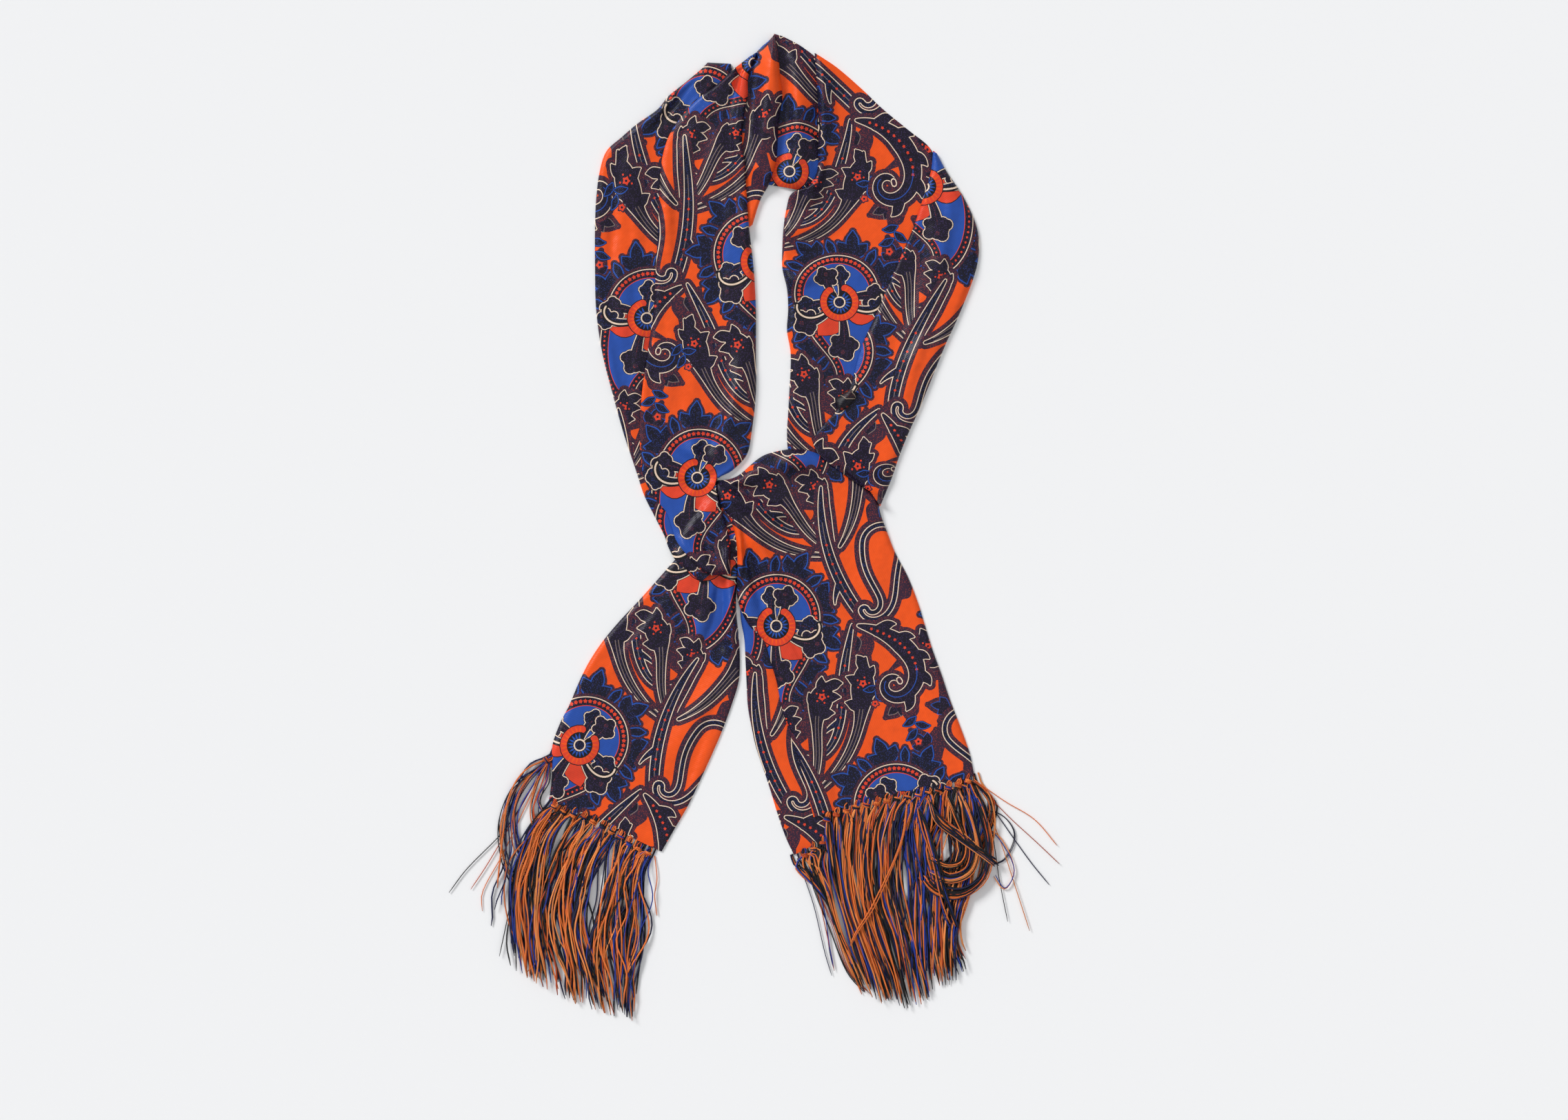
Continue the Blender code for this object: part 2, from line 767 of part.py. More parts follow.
def lay_stretch(item, below, materials):
    """One stretch of the cloth: a wall that lies on the objects below it."""
    row_count, column_count = item.size
    row_places, column_places = spread(row_count, ROW_SPREAD), spread(column_count, COLUMN_SPREAD)
    grid = plan_grid(item.sections, row_places, column_places)
    rests = resting_heights(grid, [tree_of(obj) for obj in below])
    rises = lifts(grid, item.rolls, item.folds)
    tops, bottoms = [], []
    for i in range(row_count):
        tops.append([])
        bottoms.append([])
        for j in range(column_count):
            edge = i in (0, row_count - 1) or j in (0, column_count - 1)
            rest, rise = rests[i][j], rises[i][j]
            tops[i].append(rest + rise + (RIM if edge else WALL))
            bottoms[i].append(rest if edge else rest + max(0.0, rise - UNDERCUT))
    return add_object(item.name, closed_wall(grid, tops, bottoms), materials[item.silk])


def layered_core(name, outline, material):
    """Hidden layers as one solid: two rounded ledges around an outline, then a low crown."""
    centre = sum((Vector(point) for point in outline), Vector((0, 0))) / len(outline)
    points = []
    for inset, height in CORE_PROFILE:
        for x, y in outline:
            place = Vector((x, y))
            place += (centre - place).normalized() * inset
            points.append((place.x, place.y, height))
    count = len(outline)
    faces = []
    for level in range(len(CORE_PROFILE) - 1):
        for k in range(count):
            a = level * count + k
            b = level * count + (k + 1) % count
            faces.append((a, b, b + count, a + count))
    faces.append(tuple(range(count - 1, -1, -1)))
    faces.append(tuple((len(CORE_PROFILE) - 1) * count + k for k in range(count)))
    return add_object(name, (points, faces), material)


def strand_path(stations, columns, place, level, level_height):
    """Middle line of one strand: its plan from the fringe's table, and its height from its level."""
    path = []
    for step in range(1, STRAND_STEPS + 1):
        t = step / STRAND_STEPS
        row = [hermite(stations, column, t) for column in columns]
        point = hermite(THIRDS, row, place)
        ripple = RIPPLE * math.sin(5.1 * t + 2.4 * level + 3.0 * place) * 4 * t * (1 - t)
        across = (row[2] - row[0]).normalized()
        point = point + across * ripple
        settled = min(1.0, t / STRAND_DOWN)
        height = level_height + (STRAND_FLOOR - level_height) * settled**1.4
        path.append((point, height))
    return path


def stray_path(root, stray, level_height):
    """A loose strand that leaves the mass by one bend."""
    path = []
    for step in range(1, STRAND_STEPS + 1):
        t = step / STRAND_STEPS
        point = hermite(THIRDS, [root, Vector(stray.bend), Vector(stray.end)], t)
        height = level_height + (STRAND_FLOOR - level_height) * min(1.0, t / STRAND_DOWN)
        path.append((point, height))
    return path


def ring(points, centre, height, along, radius):
    """Adds a three-sided ring square to the strand's direction and returns its indices."""
    side = Vector((-along.y, along.x))
    first = len(points)
    for angle in (math.radians(90), math.radians(210), math.radians(330)):
        place = centre + side * (radius * math.cos(angle))
        points.append((place.x, place.y, height + radius * math.sin(angle)))
    return (first, first + 1, first + 2)


def grow_strand(points, faces, cell, path):
    """Grows one strand from a cell: its lower left, lower right, upper right and upper left point."""
    root = sum((Vector(points[k]) for k in cell), Vector((0, 0, 0))) / 4
    before = Vector((root.x, root.y))
    rings = []
    for step, (centre, height) in enumerate(path):
        after = path[step + 1][0] if step + 1 < len(path) else centre * 2 - before
        along = (after - before).normalized()
        share = (step + 1) / len(path)
        rings.append(ring(points, centre, height, along, STRAND + (STRAND_TIP - STRAND) * share))
        before = centre
    top, left, right = rings[0]
    lower_left, lower_right, upper_right, upper_left = cell
    faces.append((lower_left, lower_right, right, left))
    faces.append((lower_right, upper_right, top, right))
    faces.append((upper_right, upper_left, top))
    faces.append((upper_left, lower_left, left, top))
    for (a_top, a_left, a_right), (b_top, b_left, b_right) in zip(rings, rings[1:]):
        faces.append((a_left, a_right, b_right, b_left))
        faces.append((a_right, a_top, b_top, b_right))
        faces.append((a_top, a_left, b_left, b_top))
    faces.append(rings[-1])


def strip_sections(item, hem, down, total, trees):
    """Points across the strip at each of its stations: four up its outer face and two up its inner one."""
    feet, edge = [], []
    for k in range(total + 1):
        place = hermite(THIRDS, hem, k / total)
        nearby = [top_below(trees, *(place + down * reach)) for reach in STRIP_FEELERS]
        nearby = [height for height in nearby if height is not None]
        feet.append(max(nearby) + CLEAR if nearby else STRIP_FOOT)
        edge.append(place)
    feet = [max(feet[max(0, k - 2) : k + 3]) for k in range(total + 1)]
    points = []
    for place, foot in zip(edge, feet):
        inner = place + down * STRIP_PARTING
        outer = inner + down * STRIP_DEPTH
        for level in range(4):
            points.append((outer.x, outer.y, foot + CELL * level))
        for level in STRIP_BACK:
            points.append((inner.x, inner.y, foot + CELL * level))
    return points, edge


def tie_fringe(item, below, material):
    """A row of knots along a hem as a narrow strip, with the strands growing out of its outer face."""
    stations = chord_stations(item.sections)
    columns = [[Vector(row[k]) for row in item.sections] for k in range(3)]
    total = item.strands + len(item.before) + len(item.after)
    down = (columns[1][1] - columns[1][0]).normalized()
    hem = [column[0] for column in columns]
    points, edge = strip_sections(item, hem, down, total, [tree_of(obj) for obj in below])
    across = 6
    faces = [(0, 1, 2, 3, 5, 4), tuple(across * total + k for k in (4, 5, 3, 2, 1, 0))]
    for k in range(total):
        a, b = across * k, across * (k + 1)
        chosen = LEVEL_ORDER[k % 3]
        for level in range(3):
            if level != chosen:
                faces.append((a + level, b + level, b + level + 1, a + level + 1))
        faces.append((a + 3, b + 3, b + 5, a + 5))
        faces.append((a + 5, b + 5, b + 4, a + 4))
        faces.append((a + 4, b + 4, b, a))
        cell = (a + chosen, b + chosen, b + chosen + 1, a + chosen + 1)
        height = points[a + chosen][2] + CELL / 2
        root = edge[k].lerp(edge[k + 1], 0.5) + down * (STRIP_PARTING + STRIP_DEPTH)
        after = k - len(item.before) - item.strands
        if k < len(item.before):
            path = stray_path(root, item.before[k], height)
        elif after >= 0:
            path = stray_path(root, item.after[after], height)
        else:
            place = (k - len(item.before) + 0.5) / item.strands
            path = strand_path(stations, columns, place, chosen, height)
        grow_strand(points, faces, cell, path)
    return add_object(item.name, (points, faces), material, smooth=False)


def main():
    clear_scene()
    materials = {
        "silk_orange": silk("silk_orange", SILK_ORANGE, SILK_ROUGHNESS),
        "silk_navy": silk("silk_navy", SILK_NAVY, SILK_ROUGHNESS),
        "silk_plum": silk("silk_plum", SILK_PLUM, SILK_ROUGHNESS),
    }
    copper = silk("fringe_copper", FRINGE_COPPER, FRINGE_ROUGHNESS)
    built = {
        "neck_folds": layered_core("neck_folds", NECK_CORE, materials["silk_navy"]),
        "crossing_folds": layered_core("crossing_folds", CROSSING_CORE, materials["silk_navy"]),
    }
    for item in STRETCHES:
        built[item.name] = lay_stretch(item, [built[name] for name in item.below], materials)
    for item in FRINGES:
        tie_fringe(item, [built[name] for name in item.below], copper)


main()
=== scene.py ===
"""Looks of the silk scarf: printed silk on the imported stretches, a knotted fringe, a table and soft light.

The tables and the rules of laying are those of the part's source, in millimetres, but sampled finely.
Each stretch is cut from one printed cloth. The print is a paisley of this script's own: strokes of
varying width, layered in colours, drawn flat on the cloth and triangulated with the stretch's form.
"""

import math
from collections import namedtuple

import bpy
import numpy as np
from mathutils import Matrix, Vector
from mathutils.bvhtree import BVHTree
from mathutils.geometry import delaunay_2d_cdt


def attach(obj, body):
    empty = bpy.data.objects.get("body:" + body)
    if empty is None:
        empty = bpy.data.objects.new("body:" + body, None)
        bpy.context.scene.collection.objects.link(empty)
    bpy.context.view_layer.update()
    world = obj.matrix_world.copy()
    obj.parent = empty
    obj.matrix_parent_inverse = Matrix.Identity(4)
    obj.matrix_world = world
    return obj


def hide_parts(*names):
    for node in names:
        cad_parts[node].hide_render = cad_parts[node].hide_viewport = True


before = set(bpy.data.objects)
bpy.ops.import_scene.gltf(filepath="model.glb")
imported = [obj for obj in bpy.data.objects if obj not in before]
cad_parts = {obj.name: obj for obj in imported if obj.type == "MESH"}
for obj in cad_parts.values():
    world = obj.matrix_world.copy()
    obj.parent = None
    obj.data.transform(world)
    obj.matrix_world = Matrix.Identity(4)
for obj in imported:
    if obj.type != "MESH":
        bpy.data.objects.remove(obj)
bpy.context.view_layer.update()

# Sizes of the cloth, in millimetres like the tables below
MM = 0.001
WALL = 1.5  # the doubled silk
RIM = 0.9  # the wall at its edges
CLEAR = 0.35  # between a stretch and what it lies on
UNDERCUT = 0.8  # the underside follows a fold this much lower than the top
ROLL_WIDTH = 5.0  # of the quarter round along a folded edge
ROLL_REACH = 26.0  # how far a folded edge still lifts the cloth beside it
LEDGE = 1.1  # height of one hidden layer
CELL = 2.6  # spacing of the fine form
COLUMN_SPREAD = 0.7  # how much closer together its columns are at its edges
EASINGS = 14  # times that the resting heights are smoothed
FOLD_STEPS = 24  # straight steps along a fold's curve
FOLD_END = 0.12  # how far into its fade a fold starts and ends
RELIEF = 1.3  # height of the fine cloth's folds beside those of its solids
SHARPER = 0.85  # width of its soft folds beside theirs
SETTLED = 0.35  # share of a fold's height that is left at an edge that lies flat

# Sections across each stretch, from its first to its last: x and y of the left edge, then of the right.
# right_tail has three more points between its edges.
LEFT_TAIL_UNDER = [
    (-145, -212, -140, -185), (-163, -213, -158, -188), (-182, -210, -175, -193),
]
LEFT_TAIL = [
    (-60, -20, -17, -28), (-69, -31, -13, -42), (-83, -47, -15, -58), (-99, -65, -15, -77),
    (-116, -83, -13, -97), (-131, -101, -12, -116), (-143, -119, -13, -136), (-152, -137, -19, -156),
    (-160, -156, -27, -178), (-169, -174, -36, -199), (-175, -192, -46, -221), (-175, -210, -57, -244),
    (-176, -225, -68, -263), (-178, -239, -80, -284),
]
LEFT_OUTER = [
    (-40, 402, -20, 401), (-46, 396, -18, 389), (-59, 385, -22, 374), (-74, 373, -26, 359),
    (-84, 361, -28, 345), (-101, 349, -28, 332), (-115, 337, -27, 318), (-128, 325, -25, 304),
    (-134, 307, -22, 290), (-137, 283, -17, 275), (-138, 259, -9, 257), (-138, 223, -5, 223),
    (-137, 187, -4, 187), (-132, 151, -4, 151), (-123, 115, -4, 115), (-113, 79, -9, 79),
    (-107, 61, -18, 61), (-101, 43, -40, 46), (-95, 25, -52, 31), (-86, 7, -52, 14),
    (-77, -11, -50, -3), (-74, -20, -48, -14), (-67, -32, -44, -23), (-58, -39, -40, -31),
    (-46, -50, -34, -40),
]
RIGHT_TAIL_UNDER = [
    (-12, -66, 14, -70), (-11, -83, 24, -92), (-8, -100, 34, -110), (-7, -120, 42, -130),
    (-6, -140, 48, -150), (-5, -158, 53, -168), (-2, -175, 58, -186), (2, -193, 62, -203),
    (8, -211, 65, -221), (14, -229, 66, -238), (21, -252, 67, -252), (28, -272, 67, -262),
    (35, -287, 67, -271),
]
NECK_PLEAT_RIGHT = [
    (18, 427, 25, 425), (17, 416, 43, 415), (17, 403, 59, 401), (18, 388, 60, 388), (19, 370, 61, 370),
    (17, 349, 62, 349), (15, 331, 61, 328), (14, 313, 60, 310), (12, 302, 57, 299), (12, 296, 50, 289),
]
RIGHT_INNER = [
    (53, 410, 58, 407), (54, 397, 73, 397), (55, 379, 94, 379), (56, 361, 113, 361),
    (56, 343, 135, 343), (56, 328, 153, 328), (55, 307, 162, 307), (47, 294, 172, 292),
    (33, 288, 177, 283), (29, 277, 183, 275), (26, 259, 189, 259), (25, 241, 190, 241),
    (25, 223, 188, 223), (29, 205, 181, 205), (30, 187, 174, 187), (29, 169, 166, 169),
    (32, 151, 158, 151), (32, 133, 151, 133), (31, 115, 144, 115), (30, 97, 136, 97), (29, 79, 128, 79),
    (30, 63, 121, 61), (33, 51, 114, 45),
]
NECK_PLEAT_LEFT = [
    (11, 419, 18, 426), (3, 411, 20, 417), (-5, 400, 22, 403), (-10, 388, 23, 389), (-12, 373, 25, 373),
    (-15, 349, 22, 350), (-17, 329, 21, 333), (-14, 316, 20, 318), (-12, 299, 17, 306),
    (-11, 283, 13, 295), (-10, 268, 6, 283), (-8, 256, -1, 261),
]
RIGHT_TAIL = [
    (-35, 38, -15, 42, 13, 62, 55, 62, 108, 24), (-31, 22, -10, 25, 15, 35, 58, 32, 110, 11),
    (-20, 4, 0, 5, 24, 8, 62, 4, 116, -6), (-15, -15, 4, -16, 27, -17, 68, -20, 123, -24),
    (-14, -38, 6, -41, 32, -43, 76, -45, 134, -45), (-14, -64, 7, -66, 36, -68, 83, -69, 143, -68),
    (-5, -86, 14, -88, 42, -90, 90, -92, 150, -91), (9, -101, 26, -105, 52, -109, 98, -112, 156, -110),
    (14, -116, 32, -122, 58, -128, 106, -131, 163, -129),
    (20, -137, 38, -142, 65, -147, 113, -150, 170, -150),
    (24, -157, 44, -162, 71, -168, 119, -171, 178, -171),
    (30, -177, 52, -182, 80, -186, 127, -187, 184, -187),
    (37, -198, 60, -203, 90, -204, 135, -203, 188, -199),
    (44, -222, 71, -224, 103, -220, 146, -215, 190, -208),
    (52, -254, 84, -244, 117, -237, 153, -230, 192, -218),
]
TUCK_PLEAT = [
    (-31, 14, -20, 16), (-30, 4, -15, 8), (-27, -5, -12, -2), (-25, -14, -11, -13),
    (-24, -23, -10, -23), (-24, -34, -10, -34), (-23, -44, -11, -45),
]
LEFT_INNER = [
    (-5, 406, 3, 410), (-15, 398, -2, 398), (-32, 382, -5, 386), (-47, 371, -5, 373),
    (-62, 356, -8, 355), (-74, 337, -10, 334), (-80, 316, -8, 317), (-82, 286, -6, 286),
    (-83, 259, -4, 259), (-85, 223, 0, 223), (-87, 187, 2, 187), (-92, 151, 2, 151), (-97, 115, 2, 115),
    (-99, 79, -2, 79), (-98, 61, -6, 61), (-95, 40, -19, 47), (-87, 25, -31, 40), (-76, 11, -32, 29),
    (-71, -2, -28, 13), (-67, -14, -23, -2), (-58, -26, -20, -17), (-46, -39, -20, -32),
    (-36, -44, -20, -43),
]
RIGHT_OUTER = [
    (156, 325, 160, 322), (154, 307, 168, 307), (148, 286, 182, 286), (139, 259, 194, 259),
    (130, 238, 196, 238), (120, 215, 192, 217), (106, 182, 178, 181), (94, 155, 167, 157),
    (83, 117, 150, 115), (72, 99, 143, 98), (63, 89, 137, 85), (52, 75, 131, 71), (54, 65, 126, 58),
    (62, 56, 121, 43), (82, 41, 115, 28), (101, 29, 110, 16),
]
TURNED_CORNER = [
    (83, 118, 90, 115), (76, 113, 88, 109), (71, 108, 83, 103), (72, 102, 76, 98),
]

# Soft folds: three points along each, height (a trough is below zero) and half width
FOLDS = {
    "left_tail": [
        ((-21, -44), (-20, -71), (-20, -104), 3.6, 7), ((-29, -52), (-31, -77), (-29, -104), -2.0, 4),
        ((-38, -50), (-42, -77), (-52, -110), 2.8, 8), ((-52, -46), (-78, -83), (-112, -128), 2.2, 13),
        ((-22, -122), (-52, -168), (-84, -222), 2.4, 13),
        ((-60, -110), (-96, -160), (-130, -196), 1.4, 12),
    ],
    "left_outer": [
        ((-46, 394), (-72, 368), (-98, 343), 2.6, 7), ((-98, 340), (-112, 305), (-112, 262), 2.0, 9),
        ((-112, 245), (-116, 190), (-110, 130), 2.2, 9), ((-97, 200), (-101, 145), (-104, 90), 2.4, 6),
    ],
    "neck_pleat_left": [
        ((17, 421), (14, 360), (4, 300), 3.2, 11),
    ],
    "neck_pleat_right": [
        ((34, 405), (40, 345), (34, 296), 2.6, 7),
    ],
    "right_inner": [
        ((62, 395), (60, 345), (57, 305), 2.6, 8), ((56, 306), (51, 283), (40, 262), 3.2, 8),
        ((28, 258), (46, 250), (70, 268), 3.6, 8), ((28, 212), (45, 211), (66, 226), 3.4, 8),
        ((70, 345), (96, 320), (118, 276), 1.8, 12), ((60, 195), (62, 160), (52, 120), 2.0, 12),
        ((34, 104), (48, 92), (62, 84), 2.2, 8),
    ],
    "right_tail": [
        ((-10, 40), (20, 52), (52, 56), 4.2, 9), ((-26, 33), (5, 23), (36, 24), -3.0, 5),
        ((-22, 22), (8, 10), (44, 12), 3.2, 9), ((-18, 8), (-8, -30), (-2, -78), 2.6, 6),
        ((-8, 8), (6, -34), (20, -86), 2.4, 7), ((2, 2), (22, -40), (36, -100), 1.8, 9),
        ((16, -110), (34, -160), (58, -222), 1.8, 9), ((112, -10), (96, -60), (104, -120), 1.6, 14),
        ((150, -120), (150, -170), (164, -210), 1.4, 13),
    ],
    "left_inner": [
        ((-20, 388), (-54, 350), (-66, 300), 3.2, 9), ((-22, 360), (-38, 320), (-40, 270), 1.8, 10),
        ((-66, 210), (-70, 150), (-78, 96), 2.0, 11), ((-12, 130), (-20, 90), (-30, 58), 3.0, 10),
        ((-36, 40), (-52, 58), (-60, 96), 3.4, 8), ((-38, 33), (-58, 40), (-82, 62), 2.6, 7),
        ((-36, 22), (-50, 6), (-60, -16), 2.4, 8),
    ],
    "right_outer": [
        ((164, 270), (154, 190), (126, 118), 2.4, 14), ((112, 190), (102, 150), (98, 112), 1.8, 9),
        ((66, 78), (92, 62), (116, 40), 2.4, 9),
    ],
}

# Finer creases beside them, with the same columns
CREASES = {
    "neck_pleat_left": [
        ((15, 420), (13, 370), (4, 306), 3.0, 7), ((0, 404), (-2, 360), (-4, 320), -2.0, 5),
    ],
    "neck_pleat_right": [
        ((40, 408), (45, 355), (38, 302), 3.6, 9), ((25, 420), (25, 362), (17, 304), -3.0, 5),
    ],
    "left_tail": [
        ((-29, -52), (-31, -78), (-29, -106), -2.6, 4.0),
        ((-18, -60), (-17, -84), (-19, -112), 1.8, 5.0),
        ((-24, -60), (-36, -96), (-60, -140), -1.8, 3.9),
        ((-46, -60), (-70, -98), (-96, -138), 1.8, 5.2),
        ((-70, -60), (-104, -104), (-128, -130), 1.4, 4.6),
        ((-30, -150), (-50, -190), (-62, -236), -1.6, 4.6),
    ],
    "left_outer": [
        ((-44, 394), (-65, 373), (-86, 343), -2.6, 4.0), ((-34, 388), (-50, 366), (-66, 340), 1.6, 5.0),
        ((-120, 300), (-122, 262), (-126, 214), -1.6, 4.0),
        ((-100, 306), (-104, 270), (-100, 228), 1.8, 4.6),
        ((-128, 170), (-122, 132), (-114, 92), 1.6, 4.6),
    ],
    "left_inner": [
        ((-76, 320), (-80, 210), (-92, 100), 2.0, 7.0), ((-26, 120), (-34, 84), (-48, 52), -2.4, 5.0),
        ((-36, 44), (-60, 30), (-80, 30), -2.4, 4.0), ((-32, 30), (-52, 10), (-62, -6), -1.8, 4.0),
        ((-12, 150), (-16, 100), (-26, 70), 2.0, 6.0), ((-72, 300), (-76, 262), (-70, 216), 1.6, 4.6),
        ((-30, 300), (-26, 250), (-32, 200), -1.6, 5.8), ((-54, 200), (-48, 150), (-56, 104), 1.6, 5.8),
        ((-88, 150), (-90, 112), (-88, 80), -1.4, 4.1), ((-42, 56), (-66, 66), (-88, 88), 2.0, 4.6),
    ],
    "right_inner": [
        ((25, 242), (46, 227), (70, 246), -3.6, 5.0), ((34, 276), (48, 268), (60, 286), -2.0, 5.0),
        ((33, 96), (42, 80), (56, 66), -3.0, 6.0), ((60, 400), (66, 370), (66, 320), 2.0, 7.0),
        ((100, 350), (120, 330), (146, 310), 1.8, 5.8), ((150, 300), (160, 260), (160, 216), 1.8, 5.8),
        ((30, 240), (52, 236), (76, 246), 2.2, 5.2), ((36, 180), (44, 150), (40, 120), 1.6, 5.8),
    ],
    "right_outer": [
        ((157, 187), (144, 168), (127, 147), -1.8, 5.0), ((150, 300), (140, 262), (118, 214), 1.8, 6.0),
        ((172, 296), (170, 250), (158, 206), 1.8, 5.8), ((140, 216), (132, 180), (118, 146), -1.4, 4.6),
        ((150, 176), (142, 142), (128, 104), 1.6, 5.2),
    ],
    "right_tail": [
        ((-29, 41), (5, 20), (34, 24), -3.6, 4.0), ((-24, 26), (10, 8), (44, 8), 2.2, 6.0),
        ((-10, -2), (0, -50), (16, -100), -1.8, 4.0), ((24, 8), (50, -30), (74, -90), -1.4, 5.0),
        ((-4, 0), (14, -30), (28, -70), 2.0, 4.1), ((16, 0), (40, -40), (60, -96), 2.0, 5.2),
        ((60, -8), (66, -50), (84, -110), 1.6, 5.8), ((60, -120), (84, -170), (110, -214), 1.6, 6.3),
        ((20, -128), (40, -172), (56, -206), -1.4, 4.1), ((0, 56), (26, 66), (60, 66), 1.6, 3.9),
    ],
}

# Hidden layers: outlines counter-clockwise, and how their sides go up
CORES = {
    "neck_folds": [
        (14, 300), (30, 294), (46, 294), (51, 320), (52, 350), (52, 385), (44, 404), (20, 418),
        (4, 404), (-8, 390), (-16, 370), (-18, 348), (-16, 328), (-10, 310),
    ],
    "crossing_folds": [
        (-44, -6), (-26, -15), (-4, -18), (10, -12), (20, 6), (25, 26), (22, 44), (6, 48),
        (-12, 38), (-30, 33), (-40, 24), (-46, 10),
    ],
}
CORE_PROFILE = [
    # inset from the outline, height
    (0.6, 0.0),
    (0.1, 0.5),
    (0.4, 0.95 * LEDGE),
    (2.2, LEDGE),
    (2.5, 1.5 * LEDGE),
    (3.4, 1.95 * LEDGE),
    (9.0, 2 * LEDGE),
]
MOUND = [
    # share of the outline, height in ledges: what the stretches over the hidden layers lie on
    (1.0, 1),
    (0.97, 1),
    (0.9, 2),
    (0.5, 2),
    (0.02, 2),
]

# Every stretch lies on those before it that it overlaps, so the order is the order of laying
Stretch = namedtuple("Stretch", "name sections rolls cut below")
STRETCHES = [
    # name, sections, heights of its rolled edges (left, right, start, end), where it is cut from
    # the cloth (across, along), what it lies on
    ("left_tail_under", LEFT_TAIL_UNDER, (0, 0, 0, 0), (20, 40), []),
    ("left_tail", LEFT_TAIL, (1.8, 1.2, 0, 0), (70, 60), ["left_tail_under"]),
    ("left_outer", LEFT_OUTER, (2.0, 0, 1.5, 0), (50, 20), ["left_tail"]),
    ("right_tail_under", RIGHT_TAIL_UNDER, (1.2, 0, 0, 0), (110, 90), []),
    ("neck_pleat_right", NECK_PLEAT_RIGHT, (0, 0, 0.8, 1.2), (30, 130), ["neck_folds"]),
    ("right_inner", RIGHT_INNER, (2.0, 0, 0, 0), (96, 210), ["neck_folds", "neck_pleat_right"]),
    ("neck_pleat_left", NECK_PLEAT_LEFT, (0, 2.4, 0.8, 0), (130, 60), ["neck_folds", "neck_pleat_right"]),
    ("tuck_pleat", TUCK_PLEAT, (0, 0, 0, 0.8), (60, 10), ["crossing_folds", "left_tail"]),
    (
        "right_tail", RIGHT_TAIL, (1.8, 1.6, 2.6, 0), (64, 130),
        ["crossing_folds", "left_tail", "right_tail_under", "right_inner", "tuck_pleat"],
    ),
    (
        "left_inner", LEFT_INNER, (0.8, 2.4, 0, 2.2), (20, 250),
        [
            "left_outer", "neck_folds", "neck_pleat_left", "crossing_folds", "left_tail",
            "right_tail", "tuck_pleat",
        ],
    ),
    ("right_outer", RIGHT_OUTER, (0.8, 2.4, 0, 0), (84, 40), ["right_inner", "right_tail"]),
    ("turned_corner", TURNED_CORNER, (0.6, 0.6, 0, 0), (156, 98), ["right_inner", "right_outer"]),
]
TURNED = "turned_corner"  # the one stretch that shows its reverse

# The printed cloth
PRINT_SCALE = 1.25  # of the printed design over its drawing
REPEAT_WIDTH = 150.0 * PRINT_SCALE  # of the print, across
HALF_REPEAT = 150.0 * PRINT_SCALE  # along; every other half is turned over and moved by half a width
MARGIN = 85.0  # how far the print is laid beyond a stretch's middle line and its ends
RASTER = 5.0  # cells that tell which strokes can touch a stretch
LINE_DEGREE = 4  # of the smooth middle line that the print follows
LINE_POINTS = 80
LINE_DEGREE = 4  # of the smooth middle line that the print follows
LINE_POINTS = 80
LINE_DEGREE = 4  # of the smooth middle line that the print follows
LINE_POINTS = 80
REVERSE = 0.55  # share of the printed colour that comes through to the underside
BACK_DIM = 0.28  # the reverse of the silk is darker
DOTS_PER_METRE = 780.0
TWILL_SCALE = 300.0
SILK_ROUGHNESS = (0.34, 0.5)
SILK_ROUGHNESS = (0.34, 0.5)
SILK_ROUGHNESS = (0.34, 0.5)

# Its palette: colours of 0 to 255 on the screen, by the numbers that the strokes carry
ORANGE, VERMILION, NAVY, INK, BLUE, PLUM, CREAM, TAUPE, MIDNIGHT = range(9)
PRINT_COLOURS = {
    # ground, pin-dots
    ORANGE: ((238, 84, 22), None),
    VERMILION: ((222, 66, 40), None),
    NAVY: ((18, 18, 38), (46, 54, 110)),
    INK: ((20, 18, 28), None),
    BLUE: ((38, 78, 164), None),
    PLUM: ((54, 32, 52), (132, 52, 50)),
    CREAM: ((232, 206, 182), None),
    TAUPE: ((120, 104, 100), None),
    MIDNIGHT: ((24, 18, 34), (58, 44, 84)),
}
GROUND = ORANGE
Patch = namedtuple("Patch", "points colour")
Brush = namedtuple("Brush", "spine radii")

# Yarn of the fringe: its colours, and how much there is of each
YARNS = {
    "copper": (242, 124, 54),
    "rust": (206, 82, 34),
    "amber": (246, 148, 78),
    "royal": (32, 58, 158),
    "navy": (22, 26, 70),
    "black": (14, 12, 18),
}
STRAND_MIX = {"copper": 4.5, "rust": 0.9, "amber": 2.1, "royal": 2.4, "navy": 4.4, "black": 7.4}
KNOT_MIX = {"copper": 3, "rust": 2, "royal": 1, "navy": 1.4, "black": 1}
DARK_MIX = {"navy": 2, "black": 3, "rust": 1}
LIGHT_MIX = {"copper": 3, "amber": 1, "rust": 1}
# Navy and black strands are real yarns. They are laid lowest in the mass so that the gaps between the
# lighter strands show dark yarn, which is partly painted shade standing in for the shade deep in the mass.
DARK_DYES = ("navy", "black")
DARK_LEVELS = (0.8, 4.3)  # heights of the strands of dark dyes, which lie lower in the mass
LIGHT_LEVELS = (1.6, 4.8)
YARN_SHADES = (0.78, 1.15)  # lightness of a strand beside its dye
KNOT_PITCH = 8.8
TUCK = 3.0  # how far the strands of the rear hem start inside it
STRAND_RINGS = 24
STRAND_SIDES = 5
STRAND_RADII = (0.55, 0.85)
STRAND_REACH = (0.8, 1.05)
STRAND_REST = 0.9  # height of a strand's middle where nothing is under it
HEM_REACH = 4.0  # how far past a hem its cloth still carries a strand
BUNDLE_SPREAD = 6.0  # millimetres, on the whole, from a bundle's middle
DRAWN_TO = 1.15  # where drawn-in strands gather: 1 is the edge of their own fringe
PLY_PITCH = 2.6  # millimetres of yarn for one turn of its ply
KNOT_WRAPS = 3
KNOT_RINGS = 13
KNOT_SIDES = 5
KNOT_WIDTH = 2.5
KNOT_HEIGHT = 1.25
KNOT_YARN = 0.8
LOOP_YARN = 0.55
HEM_LOOPS = 4
